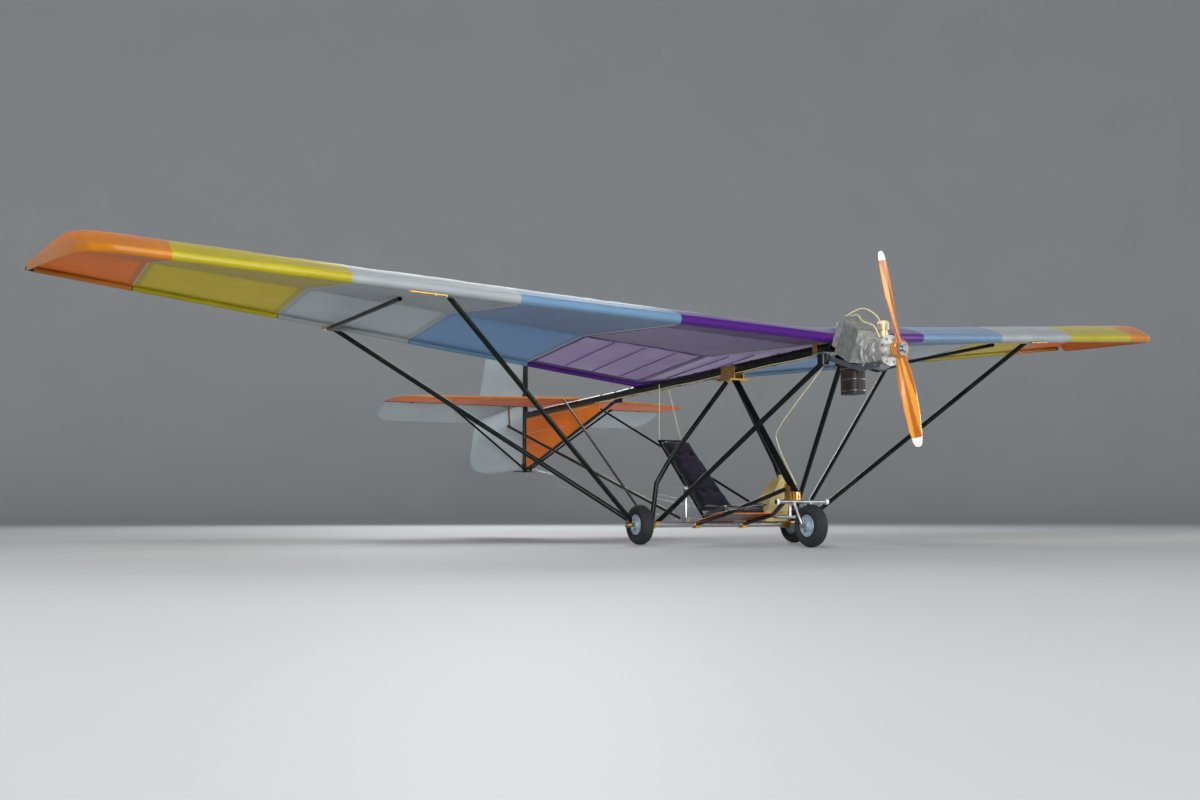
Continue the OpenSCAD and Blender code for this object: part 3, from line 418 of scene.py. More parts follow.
# Distance from the tip and how far the leading edge is set back there
TIP = [(330, 0), (210, 50), (150, 160), (95, 430), (0, 1060)]


def keel_z(y):
    return KEEL_FRONT[1] - (y - KEEL_FRONT[0]) * KEEL_FALL


def edges(x):
    """Leading and trailing edge at a distance x: (y, z) of each."""
    x = abs(x)
    te_root = keel_z(1150) + 32 + TE_R
    return (-1221 + x * SWEEP, 1252 + x * RISE), (1150 - x * TAPER, te_root + x * AFT_RISE)


def set_back(x):
    left = HALF_SPAN - abs(x)
    if left >= TIP[0][0]:
        return 0.0
    return float(np.interp(left, [t[0] for t in TIP[::-1]], [t[1] for t in TIP[::-1]]))


def section(x):
    """The sail's path at x, from the trailing edge over the nose and back to the crease.

    Each point is (y, z, share of the chord, on the lower skin) and the counts never change.
    """
    (y0, z0), (y1, z1) = edges(x)
    full = y1 - y0
    back = set_back(x)
    y0, z0 = y0 + back, z0 + back * (z1 - z0) / full
    c = y1 - y0
    k = min(1.0, 1.2 * c / full)
    line = lambda f, h: Vector((y0 + f * c, z0 + f * (z1 - z0) + h, 0))
    crease = k * (CREASE - TE_R) + TE_R
    top = [line(1, TE_R)]
    top += [line(CREASE_AT + f * (1 - CREASE_AT), k * h * (CREASE - TE_R) + TE_R) for f, h in AFT]
    top += [line(f, k * h * CAMBER) for f, h in UPPER]
    nose = [Vector((y0 + NOSE_R * math.cos(math.radians(a)), z0 + NOSE_R * math.sin(math.radians(a)), 0))
            for a in range(100, 261, 10)]
    path = [(p.x, p.y, False) for p in curve_through(top + nose[:1], 7)]
    path += [(p.x, p.y, False) for p in nose[1:]]
    a, b = nose[-1], line(CREASE_AT - 0.01, crease - 7)
    path += [(a.x + (b.x - a.x) * t / 30, a.y + (b.y - a.y) * t / 30, True) for t in range(1, 31)]
    return [(y, z, (y - y0) / c, lower) for y, z, lower in path]


def wrinkle(x, f, lower, depth):
    """Depth of the cloth's wrinkles in metres: folds that fan out of the corners at the crease."""
    t = (abs(x) % BAY) / BAY
    corner = min(t, 1 - t)
    hold = math.sin(math.pi * t) ** 0.5
    across = (f - CREASE_AT) * 2.2
    reach = math.hypot(corner, across)
    fan = math.sin(15 * math.atan2(across, corner + 0.04))
    fan *= math.exp(-3.2 * reach) * (1 - math.exp(-9 * reach))
    broad = noise.noise(Vector((x * 0.0035, f * 6, 3.1 if lower else 8.2)))
    fine = noise.noise(Vector((x * 0.014 + f * 5, f * 17 - x * 0.006, 1.7)))
    drawn = noise.noise(Vector((x * 0.02, f * 2.4, 5.5)))
    edge = min(1.0, abs(f) * 9, abs(1 - f) * 8) if f < 1 else 0
    return depth * edge * (hold * (0.9 * broad + 0.5 * fine + 0.45 * drawn) + 0.9 * fan)


def sail_mesh(x0, x1, cloth_index, band_index, depth, sleeve):
    """One side of a coloured panel, with its rib pockets, sleeve, crease seam and hem as bands."""
    pocket = 38.0
    stops = {x0, x1, x0 + pocket, x1 - pocket, *np.linspace(x0 + pocket, x1 - pocket, 34)}
    if x1 >= HALF_SPAN:
        stops = {x0, x0 + pocket, *np.linspace(x0 + pocket, x1 - 330, 14), *np.linspace(x1 - 330, x1, 26)}
    stops = sorted(stops)
    points, faces, indices, shares = [], [], [], []
    for x in stops:
        ring = section(x)
        for y, z, f, lower in ring:
            points.append(at(x, y, z) + Vector((0, 0, wrinkle(x, f, lower, depth))))
        shares = [(f, lower) for _, _, f, lower in ring]
    count = len(shares)
    for s in range(len(stops) - 1):
        mid = (stops[s] + stops[s + 1]) / 2
        near_rib = mid - x0 < pocket or (x1 - mid < pocket and x1 < HALF_SPAN)
        for i in range(count - 1):
            a, b = s * count + i, (s + 1) * count + i
            faces.append([a, b, b + 1, a + 1])
            f = (shares[i][0] + shares[i + 1][0]) / 2
            hem = f > 0.965 or f < sleeve or abs(f - CREASE_AT) < 0.012
            indices.append(band_index if near_rib or hem else cloth_index)
    return points, faces, indices


def mirrored(points, faces):
    return [Vector((-p.x, p.y, p.z)) for p in points], [f[::-1] for f in faces]


def thicken(mesh, depth):
    """Gives a sheet its cloth thickness, to both sides."""
    holder = bpy.data.objects.new("thicken", mesh)
    bpy.context.scene.collection.objects.link(holder)
    solid = holder.modifiers.new("thickness", "SOLIDIFY")
    solid.thickness = depth
    solid.offset = 0
    solid.use_quality_normals = True
    made = bpy.data.meshes.new_from_object(holder.evaluated_get(bpy.context.evaluated_depsgraph_get()))
    bpy.data.objects.remove(holder)
    return made


class MICROLIGHT_OT_sails(bpy.types.Operator):
    """Sew the wing's panels: sleeve, pockets, crease seam, hem and wrinkles"""

    bl_idname = "microlight.sails"
    bl_label = "Wing sails"
    bl_options = {"REGISTER", "UNDO"}

    def execute(self, context):
        s = settings()
        panels = [
            ("sail_centre", 0, BAY, "cloth_lilac", "band_violet", 0.11),
            ("sail_blue", BAY, 2 * BAY, "cloth_blue", "band_blue", 0.05),
            ("sail_white", 2 * BAY, 3 * BAY, "cloth_white", "band_white", 0.05),
            ("sail_yellow", 3 * BAY, 4 * BAY, "cloth_yellow", "band_yellow", 0.05),
            ("sail_tip", 4 * BAY, HALF_SPAN, "cloth_orange", "band_orange", 0.05),
        ]
        for node, x0, x1, cloth, band, sleeve in panels:
            points, faces, indices = sail_mesh(x0, x1, 0, 1, s.wrinkle, sleeve)
            other, flipped = mirrored(points, faces)
            start = len(points)
            mesh = mesh_of(points + other, faces + [[start + i for i in f] for f in flipped], indices * 2)
            piece(f"{node}_cloth", thicken(mesh, 0.0022), node, cloth, band, hides=[node])
            # The hem runs round the trailing edge tube, gathered a little between the ribs
            hems = []
            for side in (-1, 1):
                xs = np.linspace(x0 + 3, min(x1, HALF_SPAN - 40) - 3, 60)
                path = [at(side * x, edges(x)[1][0], edges(x)[1][1]) for x in xs]
                radii = [0.0178 + 0.0007 * noise.noise(Vector((x * 0.03, 0, side))) for x in xs]
                hems.append(sweep(path, radii, 0, 20))
            piece(f"{node}_hem", joined(hems), node, band)
        return {"FINISHED"}


class MICROLIGHT_OT_battens(bpy.types.Operator):
    """Lay the battens under the upper skin and the piping along every rib seam"""

    bl_idname = "microlight.battens"
    bl_label = "Battens and piping"
    bl_options = {"REGISTER", "UNDO"}

    def execute(self, context):
        s = settings()
        battens, piping, pockets = [], [], []
        gap = s.batten_gap * 1000
        for side in (-1, 1):
            x = gap / 2
            while x < HALF_SPAN - 420:
                ring = [p for p in section(x) if not p[3]]
                path = [at(side * x, y, z - 8) for y, z, f, _ in ring if 0.03 < f < CREASE_AT - 0.02][::2]
                battens.append(sweep(path, 0.0048, 0, 8))
                x += gap
            # Sewn pockets show as dark lines behind the crease of the violet panel
            for x in (190, 420, 650):
                ring = [p for p in section(x) if not p[3] and CREASE_AT < p[2] < 0.96]
                path = [at(side * (x + 26 * math.sin(3 * f)), y, z - 4.2) for y, z, f, _ in ring]
                pockets.append(sweep(path, 0.006, 0, 8, flat=0.35))
            for k in range(1, 5):
                ring = section(k * BAY)
                under = [at(side * k * BAY, y, z - 2.6) for y, z, f, lower in ring if lower]
                aft = [at(side * k * BAY, y, z - 3.0) for y, z, f, lower in ring
                       if not lower and f > CREASE_AT + 0.01][::-1]
                piping.append(sweep(under + aft, 0.0022, 0, 6))
        piece("sail_battens", joined(battens), "leading_edge_tubes", "bare_alloy", slot="bare_alloy")
        piece("sail_pockets", joined(pockets), "sail_centre", "band_violet")
        piece("sail_piping", joined(piping), "sail_white", "thread")
        return {"FINISHED"}


# ---- Tail ----


def top_loop(node, normal):
    """Outline loops, in order, of a CAD node's flat face that looks along normal."""
    mesh = frame["nodes"][node].data
    normal = Vector(normal).normalized()
    bm = bmesh.new()
    bm.from_mesh(mesh)
    bmesh.ops.remove_doubles(bm, verts=bm.verts, dist=1e-5)
    chosen = [f for f in bm.faces if f.normal.dot(normal) > 0.9995]
    level = lambda f: round(f.calc_center_median().dot(normal), 3)
    areas = {}
    for f in chosen:
        areas[level(f)] = areas.get(level(f), 0) + f.calc_area()
    widest = max(areas, key=areas.get)
    chosen = {f for f in chosen if abs(f.calc_center_median().dot(normal) - widest) < 0.001}
    rim = [e for e in bm.edges if sum(f in chosen for f in e.link_faces) == 1]
    links = {}
    for e in rim:
        a, b = e.verts
        links.setdefault(a.index, []).append(b.index)
        links.setdefault(b.index, []).append(a.index)
    place = {v.index: v.co.copy() for v in bm.verts}
    bm.free()
    loops, seen = [], set()
    for start in links:
        if start in seen:
            continue
        loop, now, last = [], start, None
        while now not in seen:
            seen.add(now)
            loop.append(place[now])
            following = [n for n in links[now] if n != last and n not in seen]
            last = now
            if not following:
                break
            now = following[0]
        loops.append(loop)
    return loops


def covered(loop, normal, half, rim, depth, spacing=0.03):
    """Fabric stretched over a rim tube: a quilted sheet on each side of the outline."""
    normal = Vector(normal).normalized()
    u = (loop[1] - loop[0]).normalized()
    v = normal.cross(u)
    middle = loop[0] - normal * half
    flat = [Vector(((p - middle).dot(u), (p - middle).dot(v))) for p in loop]
    low = [min(p[i] for p in flat) for i in (0, 1)]
    high = [max(p[i] for p in flat) for i in (0, 1)]
    extra = [Vector((x, y)) for x in np.arange(low[0], high[0], spacing)
             for y in np.arange(low[1], high[1], spacing)]
    count = len(flat)
    verts, _, faces, *_ = delaunay_2d_cdt(flat + extra, [(i, (i + 1) % count) for i in range(count)],
                                          [list(range(count))], 1, 1e-6)
    ends = np.array([[p.x, p.y] for p in flat])
    a, d = ends, np.roll(ends, -1, 0) - ends
    points = []
    for p in verts:
        q = np.array([p.x, p.y])
        t = np.clip(((q - a) * d).sum(1) / np.maximum((d * d).sum(1), 1e-12), 0, 1)
        gap = np.sqrt((((a + d * t[:, None]) - q) ** 2).sum(1)).min()
        h = 0.0035 + (rim * 0.8 - 0.0035) * math.exp(-((gap / 0.05) ** 2))
        h += depth * noise.noise(Vector((p.x * 7, p.y * 3, 0))) * min(1, gap / 0.08)
        points.append((middle + u * p.x + v * p.y, h))
    n = len(points)
    sheets = [c + normal * h for c, h in points] + [c - normal * h for c, h in points]
    skins = [list(f) for f in faces] + [[n + i for i in f][::-1] for f in faces]
    edge = sweep([middle + u * p.x + v * p.y for p in flat], rim, 0, 10, closed=True)
    return (sheets, skins, 0), edge


class MICROLIGHT_OT_tail(bpy.types.Operator):
    """Cover the stabilizer, elevators, fin and rudder and sew their hems and ribs"""

    bl_idname = "microlight.tail"
    bl_label = "Tail surfaces"
    bl_options = {"REGISTER", "UNDO"}

    def execute(self, context):
        droop, turn = math.radians(20), math.radians(115)
        surfaces = [
            ("stabilizer", (0, 0, 1), 0.006, 0.0095, "cloth_orange", "band_orange"),
            ("elevators", (0, math.sin(droop), math.cos(droop)), 0.0048, 0.007, "cloth_white", "band_white"),
            ("fin", (1, 0, 0), 0.0036, 0.006, "cloth_orange", "band_orange"),
            ("rudder", (math.sin(turn), -math.cos(turn), 0), 0.0048, 0.007, "cloth_white", "band_white"),
        ]
        for node, normal, half, rim, cloth, band in surfaces:
            parts = []
            for loop in top_loop(node, normal):
                if len(loop) < 4:
                    continue
                sheet, edge = covered(loop, normal, half, rim, 0.0015)
                parts += [sheet, (edge[0], edge[1], 1)]
            piece(f"{node}_cover", joined(parts), node, cloth, band, hides=[node], smooth=60)
        hinge_y, hinge_z = 3016, 1136
        tube = sweep([at(-1330, hinge_y, hinge_z), at(1330, hinge_y, hinge_z)], 0.011, 0, 24)
        piece("elevator_hinge_tube", joined([tube]), "elevators", "frame_tube", slot="frame_tube")
        # Rib seams on both faces of each half of the stabilizer, and three along the fin
        seams = []
        for side in (-1, 1):
            for x in (330, 680, 1000):
                front = 2150 + max(0, (x - 300)) * 0.42
                for z in (1146, 1126):
                    seams.append(sweep([at(side * x, front, z), at(side * x, 2985, z)], 0.0016, 0, 6))
        for side in (-1, 1):
            for k in range(3):
                y0 = 1900 + 420 * k
                path = [at(side * 4.4, y, keel_z(y) - 45 - 120 * k) for y in np.linspace(y0, 3070, 24)]
                seams.append(sweep(path, 0.0014, 0, 6))
        piece("tail_seams", joined(seams), "stabilizer", "thread", slot="sail_orange")
        return {"FINISHED"}


# ---- Wheels ----


class MICROLIGHT_OT_wheels(bpy.types.Operator):
    """Turn the ribbed tyres and the dished hubs with their bolts and valves"""

    bl_idname = "microlight.wheels"
    bl_label = "Wheels"
    bl_options = {"REGISTER", "UNDO"}

    def execute(self, context):
        for side in ("left", "right", "nose"):
            low, high = CAD_BOX[f"{side}_tyre"]
            centre = (low + high) / 2
            outer = (high.z - low.z) / 2
            half = (high.x - low.x) / 2
            rim = 0.064
            profile = [(-half * 0.58, rim)]
            for a in range(-124, 125, 4):
                angle = math.radians(a)
                r = outer - 0.033 + 0.033 * math.cos(angle)
                x = half * math.sin(angle)
                # Grooves run round the crown
                groove = 0.0032 if abs(a) < 66 and (a // 4) % 4 == 0 else 0.0
                profile.append((x, r - groove))
            profile.append((half * 0.58, rim))
            parts = [lathe(profile, centre, (1, 0, 0), 0, 96)]
            piece(f"{side}_tyre_tread", joined(parts), f"{side}_tyre", "tyre",
                  hides=[f"{side}_tyre"], smooth=25)
            hub = []
            for way in (-1, 1):
                out = lambda *rows: [(way * x, r) for x, r in rows]
                dish = out((0.0315, 0.0668), (0.034, 0.065), (0.032, 0.060), (0.0235, 0.056), (0.021, 0.04),
                           (0.023, 0.026), (0.036, 0.023), (0.038, 0.0205), (0.038, 0.0127))
                hub.append(lathe(dish, centre, (1, 0, 0), 0, 64))
                for k in range(4):
                    a = math.pi / 4 + k * math.pi / 2
                    spot = centre + Vector((way * 0.021, 0.047 * math.cos(a), 0.047 * math.sin(a)))
                    hub += bolt(spot, (way, 0, 0), 0.0055, index=1)
                hub += bolt(centre + Vector((way * 0.0385, 0, 0)), (way, 0, 0), 0.009, index=1)
            stem = centre + Vector((0.03, 0, 0.055))
            hub.append(sweep([stem, stem + Vector((0.012, 0, 0.003))], 0.0032, 2, 10))
            piece(f"{side}_hub", joined(hub), f"{side}_rim", "hub_steel", "plate_steel", "black_plastic",
                  hides=[f"{side}_rim"], smooth=30)
        return {"FINISHED"}


# ---- Seat ----


def puffed(node, cap, voxel=0.009):
    """A copy of a CAD cushion that is remeshed, blown up as cloth and held to the cap."""
    source = frame["nodes"][node]
    obj = bpy.data.objects.new(f"{node}_soft", source.data.copy())
    bpy.context.scene.collection.objects.link(obj)
    obj.data.materials.clear()
    remesh = obj.modifiers.new("remesh", "REMESH")
    remesh.mode = "VOXEL"
    remesh.voxel_size = voxel
    mesh = bpy.data.meshes.new_from_object(obj.evaluated_get(bpy.context.evaluated_depsgraph_get()))
    obj.modifiers.clear()
    obj.data = mesh
    for _ in range(6):
        bm = bmesh.new()
        bm.from_mesh(mesh)
        bmesh.ops.smooth_vert(bm, verts=bm.verts, factor=0.5,
                              use_axis_x=True, use_axis_y=True, use_axis_z=True)
        bm.to_mesh(mesh)
        bm.free()
    rest = [v.co.copy() for v in mesh.vertices]
    cloth = obj.modifiers.new("cloth", "CLOTH")
    cloth.settings.use_pressure = True
    cloth.settings.uniform_pressure_force = 4
    cloth.settings.effector_weights.gravity = 0
    for step in range(1, 21):
        bpy.context.scene.frame_set(step)
    blown = bpy.data.meshes.new_from_object(obj.evaluated_get(bpy.context.evaluated_depsgraph_get()))
    obj.modifiers.clear()
    bpy.context.scene.frame_set(1)
    for vertex, old in zip(blown.vertices, rest):
        move = vertex.co - old
        if move.length > cap:
            vertex.co = old + move.normalized() * cap
    obj.data = blown
    return obj


def dimple(mesh, spots, normal, radius, depth):
    """Presses button tufts into a cushion."""
    normal = Vector(normal).normalized()
    for vertex in mesh.vertices:
        for spot in spots:
            away = vertex.co - spot
            flat = (away - normal * away.dot(normal)).length
            if flat < radius * 3 and away.dot(normal) > -0.02:
                vertex.co -= normal * depth * math.exp(-((flat / radius) ** 2))


class MICROLIGHT_OT_seat(bpy.types.Operator):
    """Pad the seat and the backrest, with tufted buttons"""

    bl_idname = "microlight.seat"
    bl_label = "Seat"
    bl_options = {"REGISTER", "UNDO"}

    def execute(self, context):
        lean = math.radians(49)
        up_back = Vector((0, math.sin(lean), math.cos(lean)))
        out_back = Vector((0, -math.cos(lean), math.sin(lean)))
        for node, cap, normal in (("seat_cushion", 0.008, Vector((0, -0.18, 0.98))),
                                  ("seat_back_cushions", 0.008, out_back)):
            obj = puffed(node, cap)
            low, high = CAD_BOX[node]
            centre = (low + high) / 2
            if node == "seat_cushion":
                spots = [centre + Vector((x, 0, 0.03)) for x in (-0.075, 0.075)]
            else:
                spots = [centre + up_back * d + Vector((x, 0, 0)) + out_back * 0.02
                         for d in (-0.2, 0.2) for x in (-0.05, 0.05)]
            dimple(obj.data, spots, normal, 0.022, 0.011)
            obj.data.materials.append(material("cushion"))
            finish_mesh(obj.data, 60)
            obj.modifiers.new("smooth", "SUBSURF").levels = 1
            obj.modifiers["smooth"].render_levels = 1
            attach(obj, "airframe")
            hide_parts(node)
            buttons = [lathe([(0, 0.009), (0.003, 0.0085), (0.005, 0.005), (0.0055, 0)], spot - normal * 0.004
                             if node == "seat_cushion" else spot, normal, 0, 20) for spot in spots]
            piece(f"{node}_buttons", joined(buttons), node, "black_plastic")
        return {"FINISHED"}


# ---- Engine and propeller ----

ROOT = (-1612.0, 1135.0)
LEAN = math.radians(28)
ALONG = Vector((0, math.cos(LEAN), math.sin(LEAN)))
UP = Vector((0, -math.sin(LEAN), math.cos(LEAN)))
PROP = (-1845.0, 1118.0)


def on_engine(along, x, up):
    """A point in millimetres from the cylinder's foot."""
    return at(0, *ROOT) + (ALONG * along + UP * up) / 1000 + Vector((x / 1000, 0, 0))


class MICROLIGHT_OT_engine(bpy.types.Operator):
    """Add the engine's head fins, bolts, plug, leads, carburettor dome and exhaust fittings"""

    bl_idname = "microlight.engine"
    bl_label = "Engine details"
    bl_options = {"REGISTER", "UNDO"}

    def execute(self, context):
        alloy, steel, brass, plastic, cream = range(5)
        parts = []
        # Upright fins over the head, standing along the airflow
        for k in range(7):
            x = -72 + 24 * k
            fin = [on_engine(a, x + t, u) for t in (-2, 2)
                   for a, u in ((204, 70), (272, 70), (272, 104), (250, 112), (204, 112))]
            faces = [[4, 3, 2, 1, 0], [5, 6, 7, 8, 9]]
            faces += [[i, (i + 1) % 5, 5 + (i + 1) % 5, 5 + i] for i in range(5)]
            parts.append((fin, faces, alloy))
        for x in (-58, 58):
            for u in (-58, 58):
                parts += bolt(on_engine(266, x, u), ALONG, 0.009, index=steel)
        case = at(0, PROP[0] + 75, PROP[1])
        for k in range(8):
            a = math.pi / 8 + k * math.pi / 4
            spot = case + Vector((0.068 * math.cos(a), -0.0005, 0.068 * math.sin(a)))
            parts += bolt(spot, (0, -1, 0), 0.006, index=steel)
        # Ribs and a flange round the crankcase, and its belly
        for y in (-1768, -1706, -1644, -1610):
            parts.append(lathe([(-0.004, 0.078), (-0.004, 0.0865), (0.004, 0.0865), (0.004, 0.078)],
                               at(0, y, PROP[1]), (0, 1, 0), alloy, 64))
        belly = curve_through([at(0, -1760, 1050), at(0, -1700, 1036), at(0, -1640, 1046)], 8)
        parts.append(sweep(belly, 0.022, alloy, 16))
        for side in (-1, 1):
            parts.append(lathe([(0, 0.034), (0.012, 0.034), (0.016, 0.028), (0.016, 0)],
                               at(side * 76, -1690, 1118), (side, 0, 0), alloy, 40))
        # Spark plug, its cap and two cream leads that loop back to the magneto
        tip = on_engine(306, 0, 0)
        parts.append(lathe([(0, 0.011), (0.012, 0.011), (0.014, 0.007), (0.034, 0.0065), (0.036, 0)],
                           tip, ALONG, steel, 6))
        parts.append(sweep([tip + ALONG * 0.03, tip + ALONG * 0.052, tip + ALONG * 0.058 + UP * 0.03],
                           0.0095, cream, 12))
        lead = curve_through([tip + ALONG * 0.058 + UP * 0.028, on_engine(330, 20, 90), on_engine(240, 44, 170),
                              on_engine(100, 52, 168), at(44, -1640, 1235), at(40, -1668, 1196)], 10)
        parts.append(sweep(lead, 0.0042, cream, 10))
        second = curve_through([at(-36, -1720, 1196), at(-60, -1700, 1262), at(-54, -1600, 1300),
                                on_engine(170, -40, 150), on_engine(240, -30, 116)], 10)
        parts.append(sweep(second, 0.0036, cream, 10))
        # Carburettor: filter dome, five rings under it, brass union and fuel pipe
        low, high = CAD_BOX["carburettor"]
        top = Vector(((low.x + high.x) / 2, (low.y + high.y) / 2, high.z))
        dome = [(0, 0.035), (0.006, 0.0345), (0.013, 0.030), (0.019, 0.020), (0.022, 0.008), (0.0225, 0)]
        parts.append(lathe(dome, top, (0, 0, 1), cream, 40))
        for k in range(5):
            parts.append(lathe([(0, 0.0352), (0.0012, 0.0362), (0.0024, 0.0352)],
                               top - Vector((0, 0, 0.028 - 0.006 * k)), (0, 0, 1), alloy, 40))
        union = top + Vector((0.03, 0.012, -0.05))
        parts.append(lathe([(0, 0.007), (0.018, 0.007), (0.018, 0.0045), (0.03, 0.0045), (0.03, 0)],
                           union, (1, 0.3, 0), brass, 6))
        fuel = curve_through([union + Vector((0.03, 0.009, 0)), at(90, -1640, 1160), at(80, -1480, 1100),
                              at(60, -1290, 1128), at(40, -1180, 1150)], 10)
        parts.append(sweep(fuel, 0.004, plastic, 10))
        # Exhaust flange, clamp band and springs
        low, high = CAD_BOX["muffler"]
        centre = (low + high) / 2
        for z in (low.z + 0.02, low.z + 0.085, low.z + 0.15):
            hoop = [Vector((centre.x + x, centre.y + y, z)) for x, y in rounded_box(0.0492, 0.0732, 0.031)]
            parts.append(sweep(hoop, 0.0028, steel, 8, closed=True))
        for side in (-1, 1):
            coil = [Vector((side * 0.034 + 0.004 * math.cos(a), centre.y - 0.02 + 0.004 * math.sin(a),
                            low.z + 0.176 + 0.0009 * a)) for a in np.linspace(0, 2 * math.pi * 7, 90)]
            parts.append(sweep(coil, 0.0009, steel, 6))
        piece("engine_fittings", joined(parts), "cylinder_block", "engine_alloy", "plate_steel", "gold_alloy",
              "black_plastic", "wire_cream")
        return {"FINISHED"}


def rounded_box(a, b, r, per=6):
    """Outline of a rectangle with round corners, half sizes a and b."""
    path = []
    for k, (sx, sy) in enumerate(((1, 1), (-1, 1), (-1, -1), (1, -1))):
        for i in range(per + 1):
            angle = math.pi / 2 * (k + i / per)
            path.append((sx * (a - r) + r * math.cos(angle), sy * (b - r) + r * math.sin(angle)))
    return path


class MICROLIGHT_OT_propeller(bpy.types.Operator):
    """Carve the laminated propeller with its painted tips and bolt its plates"""

    bl_idname = "microlight.propeller"
    bl_label = "Propeller"
    bl_options = {"REGISTER", "UNDO"}

    def execute(self, context):
        # Share of the radius, chord, thickness and pitch angle of the blade
        table = [(0.0, 70, 44, 52), (0.08, 60, 42, 47), (0.16, 68, 32, 42), (0.28, 84, 24, 32),
                 (0.45, 96, 16, 24), (0.65, 92, 11, 18), (0.85, 76, 8, 14), (0.95, 60, 6, 12), (0.99, 40, 4.5, 12),
                 (1.0, 20, 3, 12)]
        share = np.array([row[0] for row in table])
        radius = 555.0
        turn = Matrix.Rotation(math.radians(-13), 3, "Y")
        centre = at(0, *PROP)
        parts = []
        outline = [(math.cos(a), math.sin(a)) for a in np.linspace(0, 2 * math.pi, 28, endpoint=False)]
        for way in (1, -1):
            stations = np.concatenate([np.linspace(0, 0.9, 46), np.linspace(0.9, 1.0, 14)[1:]])
            points = []
            for t in stations:
                chord, thick, pitch = (float(np.interp(t, share, [row[i] for row in table])) for i in (1, 2, 3))
                pitch = math.radians(pitch)
                for c, w in outline:
                    u = c * chord / 2
                    v = w * thick / 2 * (1.0 if w < 0 else 0.8) * (1 - 0.25 * c * c)
                    x = u * math.cos(pitch) - v * math.sin(pitch)
                    y = u * math.sin(pitch) + v * math.cos(pitch)
                    p = Vector((x * way, y, t * radius * way)) / 1000
                    points.append(centre + turn @ p)
            n = len(outline)
            for i in range(len(stations) - 1):
                tip = 1 if stations[i] > 0.9 else 0
                band = [[i * n + k, i * n + (k + 1) % n, (i + 1) * n + (k + 1) % n, (i + 1) * n + k]
                        for k in range(n)]
                parts.append(([points[j] for j in range(i * n, (i + 2) * n)],
                              [[j - i * n for j in f] for f in band], tip))
            cap = points[-n:]
            parts.append((cap, [list(range(n))], 1))
        parts.append(lathe([(-0.022, 0), (-0.022, 0.049), (-0.019, 0.052), (0.019, 0.052), (0.022, 0.049),
                            (0.022, 0)], centre, (0, 1, 0), 0, 56))
        mesh = joined(parts)
        bm = bmesh.new()
        bm.from_mesh(mesh)
        bmesh.ops.remove_doubles(bm, verts=bm.verts, dist=1e-5)
        bmesh.ops.recalc_face_normals(bm, faces=bm.faces)
        bm.to_mesh(mesh)
        bm.free()
        piece("propeller_blades", mesh, "propeller", "wood_prop", "white_paint", hides=["propeller"])
        bolts = []
        for k in range(4):
            a = math.pi / 4 + k * math.pi / 2
            spot = centre + Vector((0.027 * math.cos(a), -0.0285, 0.027 * math.sin(a)))
            bolts += bolt(spot, (0, -1, 0), 0.0065)
        piece("propeller_bolts", joined(bolts), "propeller_hub", "plate_steel")
        return {"FINISHED"}


# ---- Rigging ----


